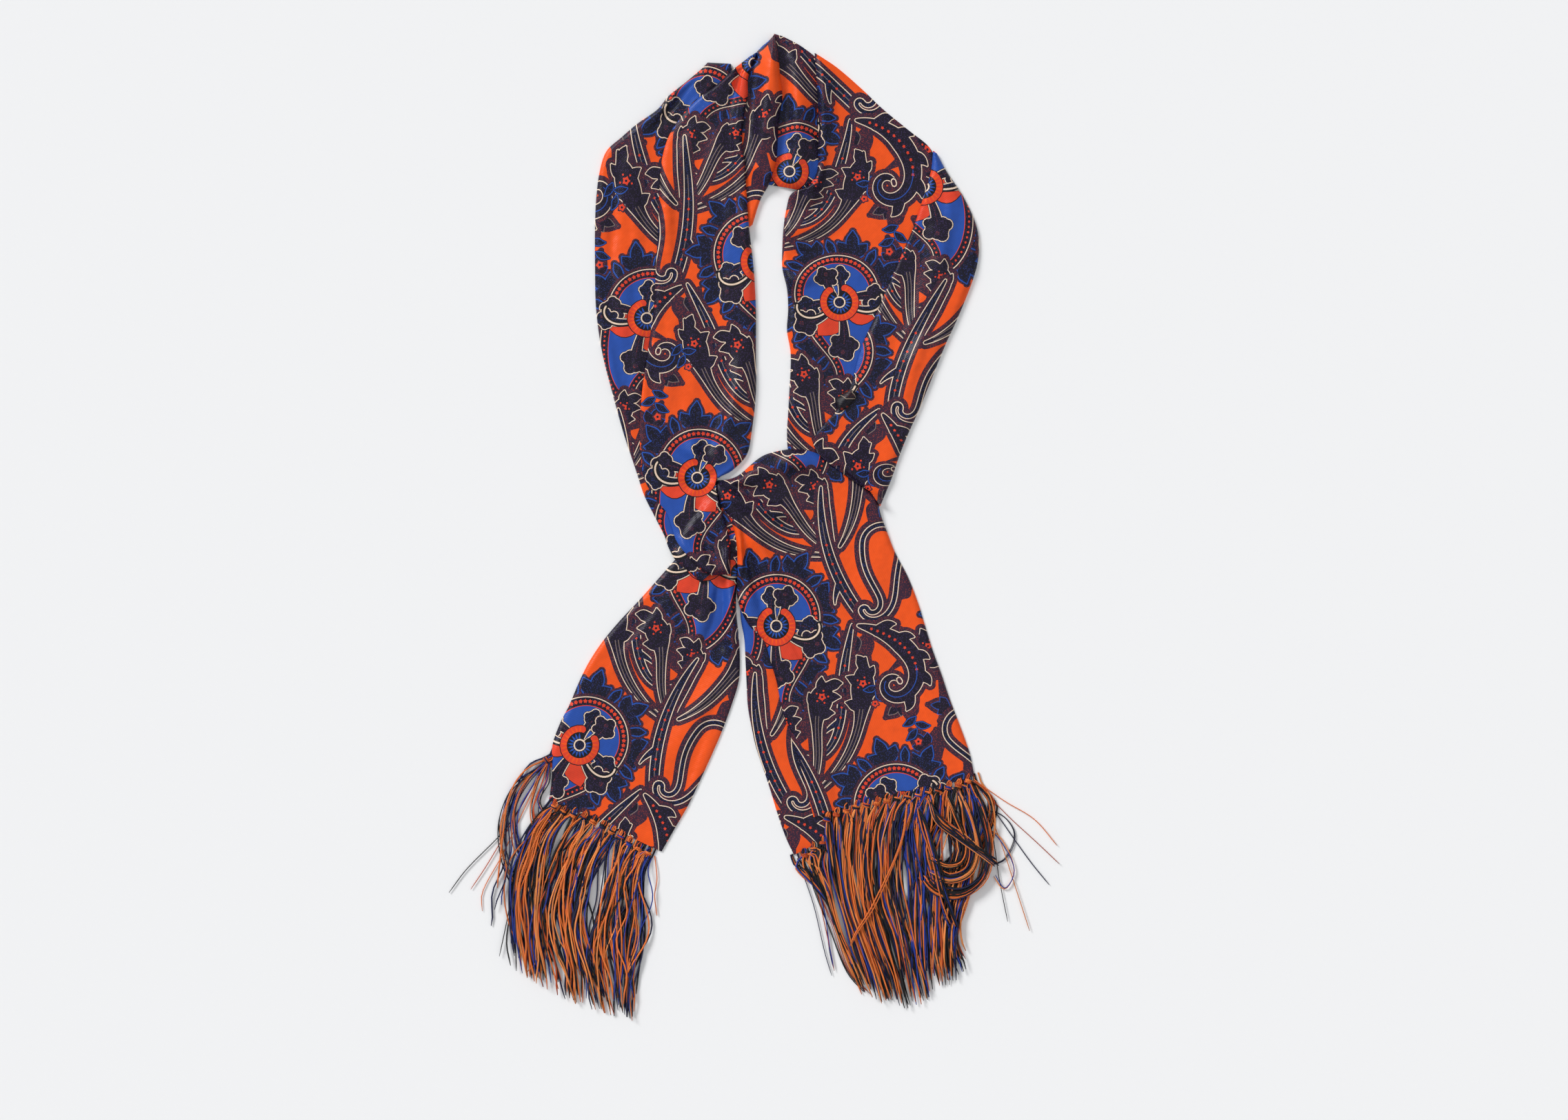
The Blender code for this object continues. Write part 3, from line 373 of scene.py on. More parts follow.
SEED = 20

# Sections across each fringe, from its hem to its ends: x and y of its first, middle and last strand
LEFT_FRINGE = [
    (-179, -240, -133, -259, -83, -285), (-198, -262, -146, -284, -89, -303),
    (-209, -290, -156, -315, -94, -327), (-212, -318, -160, -340, -97, -352),
    (-212, -345, -158, -366, -98, -377), (-211, -366, -152, -390, -98, -400),
    (-211, -380, -148, -412, -97, -423),
]
LEFT_FRINGE_UNDER = [
    (-175, -192, -179, -202, -183, -211), (-197, -206, -197, -214, -198, -222),
    (-216, -230, -213, -236, -210, -241), (-227, -262, -222, -265, -217, -268),
    (-231, -292, -225, -294, -220, -296), (-233, -319, -227, -321, -221, -322),
    (-230, -342, -224, -346, -217, -345),
]
RIGHT_FRINGE = [
    (66, -252, 127, -236, 192, -219), (68, -284, 120, -264, 201, -240),
    (73, -314, 119, -297, 203, -268), (81, -344, 122, -327, 196, -305),
    (90, -371, 128, -357, 184, -338), (97, -389, 134, -385, 180, -362),
    (102, -405, 139, -409, 183, -381),
]
RIGHT_FRINGE_UNDER = [
    (36, -288, 51, -280, 66, -272), (41, -312, 52, -304, 63, -297), (51, -337, 59, -331, 67, -326),
    (63, -361, 69, -357, 75, -354), (74, -384, 79, -382, 85, -380), (80, -403, 87, -403, 94, -402),
]

Fringe = namedtuple("Fringe", "name sections strands drawn below")
FRINGES = [
    # name, sections, strands from each knot, share by which they gather beside the next fringe,
    # what it lies on
    ("left_fringe", LEFT_FRINGE, 22, 0.0, ["left_tail"]),
    ("left_fringe_under", LEFT_FRINGE_UNDER, 4, 0.0, ["left_tail", "left_tail_under"]),
    ("right_fringe", RIGHT_FRINGE, 20, 0.0, ["right_tail", "right_tail_under"]),
    ("right_fringe_under", RIGHT_FRINGE_UNDER, 16, 0.75, ["right_tail", "right_tail_under"]),
]

# The line of knots along each hem
KNOTS = {
    "left_fringe": [
        (-177, -241), (-168, -247), (-159, -250), (-149, -252), (-138, -257), (-130, -261),
        (-122, -266), (-114, -271), (-106, -277), (-97, -282), (-87, -286),
    ],
    "left_fringe_under": [(-181, -207), (-176, -200)],
    "right_fringe": [
        (191, -219), (181, -224), (167, -228), (151, -232), (138, -235), (122, -237),
        (106, -241), (92, -243), (81, -247), (70, -251), (60, -256),
    ],
    "right_fringe_under": [(64, -272), (57, -277), (48, -283), (40, -288)],
}

# Strands that leave the mass
LOCKS = {
    # points along each, how many, how far apart, height, radius, dyes
    "left_fringe": [
        ([(-180, -244), (-204, -288), (-214, -342), (-221, -375)], 1, 0, 1.0, 0.5, DARK_MIX),
        ([(-86, -288), (-84, -308), (-86, -322), (-84, -340)], 1, 0, 1.0, 0.5, LIGHT_MIX),
    ],
    "left_fringe_under": [
        (
            [(-180, -207), (-205, -228), (-219, -260), (-216, -292), (-203, -320)],
            7, 2.4, 1.2, 0.5, STRAND_MIX,
        ),
        (
            [(-177, -203), (-196, -224), (-208, -250), (-206, -280), (-192, -306)],
            7, 2.4, 1.6, 0.5, STRAND_MIX,
        ),
        ([(-177, -203), (-186, -226), (-192, -250), (-182, -284)], 6, 2.2, 2.0, 0.5, STRAND_MIX),
        ([(-177, -203), (-178, -222), (-186, -240), (-172, -262)], 4, 1.4, 2.0, 0.5, STRAND_MIX),
        ([(-181, -208), (-214, -262), (-250, -300), (-265, -320)], 1, 0, 1.0, 0.4, DARK_MIX),
        ([(-181, -208), (-212, -262), (-232, -296), (-246, -317)], 1, 0, 1.0, 0.4, DARK_MIX),
        ([(-181, -208), (-218, -286), (-236, -320), (-236, -336)], 1, 0, 1.0, 0.4, LIGHT_MIX),
    ],
    "right_fringe": [
        (
            [(190, -224), (198, -254), (203, -282), (198, -306), (180, -319), (160, -316), (147, -303)],
            20, 2.4, 5.0, 0.68, STRAND_MIX,
        ),
        (
            [(178, -228), (187, -258), (193, -284), (187, -301), (170, -307), (154, -299)],
            18, 2.1, 5.2, 0.66, STRAND_MIX,
        ),
        (
            [(166, -230), (176, -256), (184, -280), (180, -293), (167, -296), (152, -288)],
            11, 1.6, 5.4, 0.64, STRAND_MIX,
        ),
        ([(151, -234), (160, -256), (178, -270), (198, -284), (213, -296)], 18, 2.0, 6.2, 0.66, STRAND_MIX),
        ([(140, -236), (150, -262), (158, -290), (166, -320), (178, -352)], 9, 1.8, 6.0, 0.66, STRAND_MIX),
        ([(134, -236), (128, -276), (104, -330), (88, -356), (82, -372)], 2, 0.7, 6.2, 0.6, LIGHT_MIX),
        ([(198, -262), (214, -272), (226, -300), (218, -316), (206, -300)], 2, 1.4, 1.0, 0.45, STRAND_MIX),
        ([(196, -246), (216, -254), (226, -270), (218, -290), (202, -296)], 2, 1.4, 1.0, 0.45, STRAND_MIX),
        ([(191, -221), (206, -262), (214, -310), (221, -345)], 1, 0, 1.0, 0.4, DARK_MIX),
        ([(191, -221), (212, -268), (228, -316), (240, -353)], 1, 0, 1.0, 0.4, LIGHT_MIX),
        ([(191, -221), (216, -258), (240, -292), (257, -313)], 1, 0, 1.0, 0.4, DARK_MIX),
        ([(191, -221), (220, -252), (246, -276), (266, -295)], 1, 0, 1.0, 0.4, DARK_MIX),
        ([(191, -221), (218, -240), (244, -256), (264, -279)], 1, 0, 1.0, 0.4, LIGHT_MIX),
    ],
    "right_fringe_under": [
        ([(42, -288), (52, -312), (66, -348), (82, -388), (102, -410)], 4, 1.2, 1.0, 0.4, DARK_MIX),
        ([(46, -286), (58, -322), (66, -358), (72, -390)], 3, 2.0, 1.0, 0.4, STRAND_MIX),
        ([(38, -290), (52, -330), (62, -372), (68, -392)], 1, 0, 1.0, 0.4, DARK_MIX),
    ],
}

# Places where the strands part and the table shows
PARTINGS = {
    # middle, radius of the hole, radius of what is moved
    "left_fringe": [((-164, -287), 2.4, 9.0), ((-149, -322), 1.6, 8.0), ((-166, -373), 2.4, 9.0)],
    "right_fringe": [((165, -281), 8.0, 24.0), ((130, -250), 2.4, 8.0), ((168, -342), 3.0, 9.0)],
}

# Camera straight above, table and light, in metres
CAMERA_PLACE = (0.0264, -0.0306, 2.6)
VIEW_WIDTH = 1.3644
SENSOR = 36.0
TABLE_COLOURS = [(0.88, 0.885, 0.89, 1.0), (0.93, 0.93, 0.935, 1.0)]
TABLE_SIZE = 30.0
LAMPS = [
    # name, from where, strength, apparent size in degrees
    ("key", (-1.15, 1.0, 0.95), 2.55, 20),
    ("fill", (0.7, -0.4, 1.6), 0.4, 60),
]
ROOM_COLOUR = (0.97, 0.98, 1.0, 1.0)
ROOM_LIGHT = 0.45

# Layers of the strokes: how far each colour reaches beyond the stroke, the widest first
THINNEST = 0.05  # radius of a stroke where it is drawn at all
CREST_COATS = [(2.6, PLUM), (1.3, INK), (0.95, BLUE), (0.0, NAVY)]
BAND_COATS = [(3.6, PLUM), (1.3, INK), (0.85, CREAM), (0.2, NAVY)]
LEAF_COATS = [(3.8, PLUM), (1.3, INK), (0.88, CREAM), (0.25, MIDNIGHT)]
BOTEH_COATS = [
    (3.0, PLUM), (1.4, INK), (0.9, CREAM), (0.2, MIDNIGHT), (-5.2, VERMILION), (-5.7, BLUE),
]
TEAR_COATS = [
    (7.6, PLUM), (4.6, INK), (4.2, CREAM), (3.5, NAVY), (1.1, INK), (0.8, CREAM), (0.15, PLUM),
    (-2.6, ORANGE),
]
PETAL_LOBE = np.array([0.5, 0.62, 0.72, 0.74, 0.66, 0.5])  # radii along it, by the petal's width
BOUQUET = [
    # lean, length, width, curl, fill
    (-158, 0.84, 0.18, -80, NAVY),
    (150, 0.88, 0.20, 80, MIDNIGHT),
    (-104, 1.06, 0.22, 90, MIDNIGHT),
    (98, 0.98, 0.21, -70, NAVY),
    (-58, 1.24, 0.19, -100, NAVY),
    (52, 1.20, 0.23, 80, MIDNIGHT),
    (-4, 1.36, 0.25, 40, MIDNIGHT),
]


# The print: strokes of varying width, each drawn in layers of colour
def towards(degrees):
    """The unit vector of a heading."""
    angle = math.radians(degrees)
    return np.array([math.cos(angle), math.sin(angle)])


def directions(points):
    """Unit vectors along a line, and to its left, at each of its points."""
    along = np.gradient(points, axis=0)
    along /= np.maximum(np.linalg.norm(along, axis=1)[:, None], 1e-6)
    return along, np.stack([-along[:, 1], along[:, 0]], axis=1)


def heading_at(spine, k):
    step = spine[k + 1] - spine[k]
    return math.degrees(math.atan2(step[1], step[0]))


def sweep(start, heading, length, turns, count):
    """A smooth line: it starts along heading and turns by these angles over equal shares of its length."""
    shares = (np.arange(count) + 0.5) / count
    rates = np.radians(np.interp(shares, np.linspace(0, 1, len(turns)), turns))
    angles = math.radians(heading) + np.cumsum(rates) / count
    steps = np.stack([np.cos(angles), np.sin(angles)], axis=1) * (length / count)
    return np.vstack([[0, 0], np.cumsum(steps, axis=0)]) + np.asarray(start, float)


def even_brush(spine, radius):
    return Brush(spine, np.full(len(spine), radius))


def drop_brush(spine, radius, tip, fullness):
    """A drop: round at the first end, and drawn out to the last."""
    t = np.linspace(0, 1, len(spine))
    return Brush(spine, tip + (radius - tip) * np.cos(t * math.pi / 2) ** fullness)


def leaf_brush(spine, radius, widest=0.45, tip=0.15, foot=0.4):
    """A leaf: narrow at its foot, widest part of the way along, pointed at its tip."""
    t = np.linspace(0, 1, len(spine))
    swell = np.where(t < widest, t / widest, (1 - t) / (1 - widest))
    low = np.where(t < widest, foot, tip)
    return Brush(spine, low + (radius - low) * np.sin(swell * math.pi / 2) ** 1.1)


def outline(brush, grow=0.0):
    """Closed outline of a brush stroke with all its radii grown, or None where nothing is left."""
    radii = np.asarray(brush.radii, float) + grow
    keep = np.nonzero(radii > THINNEST)[0]
    if len(keep) < 3:
        return None
    kept = slice(keep[0], keep[-1] + 1)
    spine, radii = brush.spine[kept], np.maximum(radii[kept], THINNEST)
    along, side = directions(spine)
    left, right = spine + side * radii[:, None], spine - side * radii[:, None]
    caps = []
    for end, way in ((-1, 1), (0, -1)):
        steps = 2 + int(radii[end] * 1.2) if radii[end] > 0.5 else 2
        angles = math.pi / 2 - math.pi * np.arange(1, steps) / steps
        reach = side[end] * np.sin(angles)[:, None] + along[end] * np.cos(angles)[:, None]
        caps.append(spine[end] + way * radii[end] * reach)
    return np.vstack([left, caps[0], right[::-1], caps[1]])


def coat(brushes, layers):
    """Layers of colour over a group of strokes, the widest first, so that the strokes run together."""
    shapes = [(outline(brush, grow), colour) for grow, colour in layers for brush in brushes]
    return [Patch(points, colour) for points, colour in shapes if points is not None]


def disc(centre, radius, colour, sides=8, waves=0, depth=0.0):
    """A dot, or a small flower where it has waves."""
    angles = np.linspace(0, 2 * math.pi, sides, endpoint=False)
    reach = radius * (1 + depth * np.cos(waves * angles))
    ring = np.stack([reach * np.cos(angles), reach * np.sin(angles)], axis=1)
    return Patch(np.asarray(centre) + ring, colour)


def along_line(points, spacing):
    """Places and headings at even distances along a line."""
    total = np.concatenate([[0], np.cumsum(np.linalg.norm(np.diff(points, axis=0), axis=1))])
    count = max(1, int(total[-1] / spacing))
    at = (np.arange(count) + 0.5) * total[-1] / count
    spots = [[np.interp(at + step, total, points[:, k]) for k in (0, 1)] for step in (-0.5, 0, 0.5)]
    before, places, after = spots
    return np.stack(places, axis=1), np.degrees(np.arctan2(after[1] - before[1], after[0] - before[0]))


def lobes_of(foot, heading, length, lobes):
    """Strokes of a leaf with several pointed lobes."""
    brushes = []
    for k in range(lobes):
        lean = (k - (lobes - 1) / 2) * 44
        reach = length * (1 - abs(lean) / 170)
        spine = sweep(foot, heading + lean * 0.8, reach, [lean * 0.8, -lean * 0.6], 9)
        brushes.append(leaf_brush(spine, length * 0.2, 0.62, 0.3, length * 0.1))
    return brushes


def crest_leaf(foot, heading, length, lobes):
    """A dark leaf with a blue edge and black veins."""
    brushes = lobes_of(foot, heading, length, lobes)
    patches = coat(brushes, CREST_COATS)
    for brush in brushes:
        patches += coat([even_brush(brush.spine[1:8], 0.3)], [(0.0, INK)])
    return patches


def ticked_ring(spine, spacing, colour_ring, colour_tick, width):
    """A ring of short ticks along a line."""
    patches = coat([even_brush(spine, width)], [(0.6, INK), (0.0, colour_ring)])
    for place, heading in zip(*along_line(spine, spacing)):
        reach = towards(heading + 90) * width * 0.8
        tick = np.array([place - reach, place, place + reach])
        patches += coat([Brush(tick, np.array([0.2, 0.55, 0.7]))], [(0.0, colour_tick)])
    return patches


def petal(foot, heading, length, width, curl, fill):
    """A round petal with a cream edge, drawn from the middle of a flower."""
    spine = sweep(foot, heading, length * 0.8, [0, curl * 0.5, curl], 12)
    brushes = [Brush(spine, np.linspace(0.9, width * 0.55, 13))]
    way = heading_at(spine, 11)
    for lean, share in ((-95, 0.85), (-30, 1.0), (38, 1.0), (100, 0.8)):
        lobe = sweep(spine[10], way + lean, width * share, [0, curl * 0.4], 5)
        brushes.append(Brush(lobe, PETAL_LOBE * width * share))
    patches = coat(brushes, [(1.05, INK), (0.7, CREAM), (0.05, fill)])
    patches += coat([even_brush(spine[3:11], 0.3)], [(0.0, PLUM)])
    return patches + [disc(spine[-1], width * 0.22, PLUM, 9)]


def tendril(foot, heading, length, curl):
    """A thin cream line with a black edge that rolls up at its end."""
    spine = sweep(foot, heading, length, [0, curl * 0.4, curl * 1.6, curl * 3.0], 22)
    return coat([even_brush(spine, 0.5)], [(1.4, INK), (0.1, CREAM)])


def bouquet(centre, heading, size):
    """Petals of several kinds and two tendrils around a half round flower."""
    patches = []
    for lean, reach, width, curl, fill in BOUQUET:
        patches += petal(centre, heading + lean, size * reach, size * width, curl, fill)
    patches += tendril(centre, heading - 54, size * 1.2, -120)
    patches += tendril(centre, heading + 56, size * 1.2, 120)
    ring = np.array([towards(angle) for angle in heading + np.linspace(-150, 150, 19)])
    patches += ticked_ring(centre + ring * size * 0.33, 2.6, VERMILION, ORANGE, size * 0.08)
    patches += ticked_ring(centre + ring * size * 0.2, 2.2, INK, BLUE, size * 0.055)
    return patches + [disc(centre, size * 0.13, CREAM, 14), disc(centre, size * 0.1, NAVY, 14)]


def boteh(base, heading, size):
    """A large drop with a blue ground, a beaded border, a crest of leaves and a bouquet inside."""
    spine = sweep(base, heading, size, [0, 10, 130, 330], 34)
    body = drop_brush(spine, size * 0.36, 0.6, 1.25)
    rim = outline(body)
    places, headings = along_line(np.vstack([rim, rim[:1]]), size * 0.15)
    patches = []
    for first, length, lobes in ((0, size * 0.25, 3), (1, size * 0.16, 1)):
        for place, way in zip(places[first::2], headings[first::2]):
            if np.linalg.norm(place - spine[-1]) > size * 0.2:
                patches += crest_leaf(place, way + 90 - 14, length, lobes)
    patches += coat([body], BOTEH_COATS)
    bead_rim = outline(body, -2.4)
    for place in along_line(np.vstack([bead_rim, bead_rim[:1]]), 3.3)[0]:
        near = np.linalg.norm(place - spine[0]) / size
        patches.append(disc(place, 1.3 if near < 0.42 else 0.75, VERMILION, 10, 5, 0.22))
    for lean in (-44, 40):
        sepal = sweep(spine[2], heading + lean, size * 0.36, [0, lean], 10)
        patches += coat([leaf_brush(sepal, size * 0.12, 0.6, 0.5)], [(0.8, INK), (0.2, VERMILION)])
    return patches + bouquet(spine[0] + (spine[8] - spine[0]) * 0.3, heading + 10, size * 0.41)


def tear(base, heading, size):
    """An orange drop with a double outline, and a neck that curls into a hook."""
    spine = sweep(base, heading, size * 1.5, [0, 60, -20, -330, -640], 44)
    return coat([drop_brush(spine, size * 0.27, 0.25, 2.6)], TEAR_COATS)


def whorl(start, heading, length, turns, width, thorns):
    """A dark band between two cream lines that ends in a curl."""
    spine = sweep(start, heading, length, turns, 56)
    brushes = [Brush(spine, 0.5 + width * np.sin(np.pi * np.linspace(0, 1, 57) ** 0.8))]
    for k, lean in thorns:
        thorn = sweep(spine[k], heading_at(spine, k) + lean, width * 6.5, [0, -lean], 10)
        brushes.append(Brush(thorn, np.linspace(width, 0.2, 11)))
    patches = coat(brushes, BAND_COATS) + coat([even_brush(spine[8:44], 0.28)], [(0.0, TAUPE)])
    return patches + [disc(place, 0.9, VERMILION) for place in along_line(spine[12:40], 7.0)[0]]


def posy(centre, size):
    """A red flower among small dots."""
    patches = [disc(centre, size, VERMILION, 15, 5, 0.25), disc(centre, size * 0.38, NAVY, 6)]
    for k in range(5):
        patches.append(disc(centre + 1.8 * size * towards(72 * k + 20), size * 0.3, VERMILION, 6))
    return patches


def frond(foot, heading, length, turns, girth, hand):
    """A long leaf: a stem that swells into a turned tip of five lobes, with a red flower on it."""
    spine = sweep(foot, heading, length, turns, 40)
    t = np.linspace(0, 1, 41)
    swell = np.exp(-(((t - 0.8) / 0.16) ** 2)) * np.clip((1 - t) / 0.1, 0, 1) ** 0.6
    brushes = [Brush(spine, 0.7 + 1.9 * np.sin(np.pi * t) + (girth - 2.0) * swell)]
    for k, lean, reach in ((26, 62, 1.5), (29, -58, 1.5), (32, 50, 1.7), (34, -44, 1.5), (37, 24, 1.3)):
        lobe = sweep(spine[k], heading_at(spine, k) + lean * hand, girth * reach, [0, 50 * hand], 8)
        brushes.append(leaf_brush(lobe, girth * 0.42, 0.5, 0.3, girth * 0.4))
    patches = coat(brushes, LEAF_COATS)
    for side in (-1, 1):
        rail = spine[3:27] + side * 1.1 * directions(spine)[1][3:27]
        patches += coat([even_brush(rail, 0.3)], [(0.0, TAUPE)])
    return patches + posy(spine[33], girth * 0.3)


def fern(start, heading, length, turns, girth):
    """A thick leaf that rolls up into a spiral, with pointed lobes on its outer side and beads along it."""
    spine = sweep(start, heading, length, turns, 64)
    t = np.linspace(0, 1, 65)
    radii = 0.8 + (girth - 0.8) * np.clip(t / 0.3, 0, 1) ** 0.8 * np.clip((1 - t) / 0.62, 0, 1) ** 0.75
    brushes = [Brush(spine, radii)]
    for k in (8, 16, 25, 33, 42):
        lobe = sweep(spine[k], heading_at(spine, k) + 62, girth * 2.2, [0, -90], 9)
        brushes.append(leaf_brush(lobe, girth * 0.52, 0.5, 0.3, girth * 0.6))
    knob = even_brush(spine[-2:].repeat(2, axis=0) + np.arange(4)[:, None] * 0.05, 1.5)
    patches = coat(brushes, LEAF_COATS) + coat([knob], [(1.0, INK), (0.6, CREAM), (-0.2, PLUM)])
    patches += [disc(place, 1.0, VERMILION, 10, 5, 0.25) for place in along_line(spine[4:34], 4.6)[0]]
    return patches + coat([even_brush(spine[30:58], 0.3)], [(0.0, BLUE)])


def shade_leaf(foot, heading, length, edge):
    """A speckled leaf with no outline, and a small one drawn on it."""
    patches = coat(lobes_of(foot, heading, length, 3), [(1.9, PLUM)])
    inner = np.array(foot) + length * 0.34 * towards(heading)
    return patches + coat(lobes_of(inner, heading, length * 0.52, 3), [(0.75, edge), (0.15, MIDNIGHT)])


def drift(foot, heading, length, turns, width):
    """A soft plum shape with no outline that fills the ground behind the leaves."""
    return coat([leaf_brush(sweep(foot, heading, length, turns, 24), width, 0.6, 0.6, 1.0)], [(0.0, PLUM)])


def sprig(foot, heading, size):
    """A small stem of three leaves and a flower."""
    patches = []
    stem = sweep(foot, heading, size, [30, -30], 9)
    for k, lean in ((1, 55), (3, -55), (5, 45)):
        leaf = leaf_brush(sweep(stem[k], heading + lean, size * 0.5, [0, lean], 7), size * 0.11)
        patches += coat([leaf], [(1.1, INK), (0.7, BLUE), (0.0, NAVY)])
    for radius, colour, sides in ((0.17, PLUM, 20), (0.12, VERMILION, 15)):
        patches.append(disc(stem[-1], size * radius, colour, sides, 5, 0.2))
    return patches + [disc(stem[-1], size * 0.045, NAVY, 7)]


def half_block():
    """Half of the repeat: a large drop on a blue ground, leaf scrolls, a small drop, and dark bands."""
    patches = []
    for motif, rows in DESIGN:
        for row in rows:
            patches += motif(*row)
    return [Patch(patch.points * PRINT_SCALE, patch.colour) for patch in patches]


def turned_over(patches):
    return [Patch(patch.points * (-1, 1) + (REPEAT_WIDTH, 0), patch.colour) for patch in patches]


DESIGN = [
    # motif, and its rows in the order of painting
    (drift, [
        # foot, heading, length, turns, width
        ((10, 8), 30, 70, [0, 60], 6),
        ((140, 110), 200, 60, [0, 70], 6),
        ((96, 92), 80, 60, [0, -60], 5),
        ((30, 120), 10, 50, [0, 60], 5),
    ]),
    (shade_leaf, [
        # foot, heading, length, colour of the drawn one's edge
        ((96, 84), 110, 24, BLUE),
        ((4, 96), -70, 24, TAUPE),
        ((22, 100), 130, 22, BLUE),
        ((132, 132), 20, 24, TAUPE),
        ((92, 30), 250, 26, BLUE),
        ((112, 60), -60, 22, TAUPE),
        ((120, 4), 210, 22, BLUE),
        ((100, 118), -10, 22, TAUPE),
    ]),
    (boteh, [((52, 50), 62, 80)]),
    (whorl, [
        # start, heading, length, turns, width, thorns
        ((150, -30), 74, 176, [60, 70, 60, 160, 900], 2.5, [(22, -50), (36, 48)]),
        ((4, 70), 62, 120, [-20, 40, -160, -760], 2.2, [(20, 52), (32, -50)]),
    ]),
    (frond, [
        # foot, heading, length, turns, girth, hand
        ((70, 168), -168, 104, [60, 90, 60, -60], 8, 1),
        ((72, 166), -136, 78, [70, 60, -80, -160], 8, -1),
        ((74, 166), -96, 58, [40, 20, -100, -120], 7, -1),
        ((78, 164), -44, 84, [-60, -60, 20, 160], 8, 1),
    ]),
    (tear, [((118, 20), 72, 44)]),
    (fern, [((150, 72), 150, 112, [-60, -150, -420, -1250], 6.2)]),
    (sprig, [((90, -4), 100, 20), ((0, 112), 60, 18)]),
]


# The forms: fine grids over the same sections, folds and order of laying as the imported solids
Form = namedtuple("Form", "plan tops bottoms normals triangles tree")


def items_of(kind, table):
    """The rows of a table as named tuples, with their sections as points."""
    items = []
    for row in table:
        item = kind(*row)
        points = np.array(item.sections, float).reshape(len(item.sections), -1, 2)
        items.append(item._replace(sections=points))
    return items


def hermite(stations, values, places):
    """The smooth curve through values at stations, read at many places."""
    slopes = np.empty_like(values)
    slopes[1:-1] = (values[2:] - values[:-2]) / (stations[2:] - stations[:-2])[:, None]
    slopes[0] = (values[1] - values[0]) / (stations[1] - stations[0])
    slopes[-1] = (values[-1] - values[-2]) / (stations[-1] - stations[-2])
    i = np.clip(np.searchsorted(stations, places) - 1, 0, len(stations) - 2)
    span = stations[i + 1] - stations[i]
    t = ((places - stations[i]) / span)[:, None]
    span = span[:, None]
    return (
        values[i] * (2 * t**3 - 3 * t**2 + 1)
        + slopes[i] * span * (t**3 - 2 * t**2 + t)
        + values[i + 1] * (3 * t**2 - 2 * t**3)
        + slopes[i + 1] * span * (t**3 - t**2)
    )


def lengths_along(points):
    """How far along a line each of its points is."""
    return np.concatenate([[0], np.cumsum(np.linalg.norm(np.diff(points, axis=0), axis=1))])


def chord_stations(middles):
    total = lengths_along(middles)
    return total / total[-1], total[-1]


def plan_grid(sections):
    """(x, y) of each point of a stretch's fine grid."""
    stations, length = chord_stations(sections.mean(axis=1))
    girth = np.linalg.norm(np.diff(sections, axis=1), axis=2).sum(axis=1).max()
    row_places = np.linspace(0, 1, int(length / CELL) + 2)
    even = np.linspace(0, 1, int(girth / CELL * 1.2) + 5)
    column_places = (1 - COLUMN_SPREAD) * even + COLUMN_SPREAD * (0.5 - 0.5 * np.cos(math.pi * even))
    width = sections.shape[1]
    columns = [hermite(stations, sections[:, k], row_places) for k in range(width)]
    if width == 2:
        share = column_places[None, :, None]
        return columns[0][:, None] * (1 - share) + columns[1][:, None] * share
    flat = hermite(np.linspace(0, 1, width), np.stack(columns).reshape(width, -1), column_places)
    return flat.reshape(len(column_places), len(row_places), 2).transpose(1, 0, 2)


def distances(plan):
    """How far each grid point is from the left, right, start and end edge."""
    across = np.zeros(plan.shape[:2])
    along = np.zeros(plan.shape[:2])
    across[:, 1:] = np.cumsum(np.linalg.norm(np.diff(plan, axis=1), axis=2), axis=1)
    along[1:] = np.cumsum(np.linalg.norm(np.diff(plan, axis=0), axis=2), axis=0)
    return across, across[:, -1:] - across, along, along[-1:] - along


def fold_height(folds, plan):
    """Sum of the soft folds at each point; each fades towards its two ends."""
    height = np.zeros(plan.shape[:2])
    t = np.linspace(0, 1, FOLD_STEPS + 1)[:, None]
    for start, bend, end, rise, width in folds:
        line = (1 - t) ** 2 * start + 2 * t * (1 - t) * np.array(bend) + t**2 * np.array(end)
        gaps = np.linalg.norm(plan[:, :, None] - line, axis=3)
        nearest = gaps.argmin(axis=2) / FOLD_STEPS
        fade = np.sin(math.pi * (FOLD_END + (1 - 2 * FOLD_END) * nearest))
        height += rise * fade * np.exp(-((gaps.min(axis=2) / width) ** 2))
    return height


def lifts(plan, rolls, folds):
    """How far the cloth rises off what carries it at each grid point."""
    crown, rounding, settle = np.zeros(plan.shape[:2]), np.ones(plan.shape[:2]), np.ones(plan.shape[:2])
    for height, distance in zip(rolls, distances(plan)):
        if height:
            crown += height * np.exp(-((distance / ROLL_REACH) ** 2))
            inside = np.minimum(distance / ROLL_WIDTH, 1.0)
            rounding *= np.sqrt(np.maximum(0, 1 - (1 - inside) ** 2))
        else:
            settle = np.minimum(settle, distance / ROLL_REACH + SETTLED)
    return np.maximum(0.0, (crown + fold_height(folds, plan) * settle) * rounding)


def locate(form, points):
    """For each (x, y): the form's nearest triangle, the weights of its corners, and how far off it lies."""
    nearest = [form.tree.find_nearest((x, y, 0.0)) for x, y in points]
    spots = np.array([(spot.x, spot.y) for spot, _, _, _ in nearest])
    corners = form.triangles[[face for _, _, face, _ in nearest]]
    a, b, c = (form.plan.reshape(-1, 2)[corners[:, k]] for k in range(3))

    def doubled(p, q, r):
        return (q[:, 0] - p[:, 0]) * (r[:, 1] - p[:, 1]) - (q[:, 1] - p[:, 1]) * (r[:, 0] - p[:, 0])

    weights = np.stack([doubled(spots, b, c), doubled(a, spots, c), doubled(a, b, spots)], axis=1)
    gaps = np.array([gap for _, _, _, gap in nearest])
    return corners, np.clip(weights / doubled(a, b, c)[:, None], 0, 1), gaps


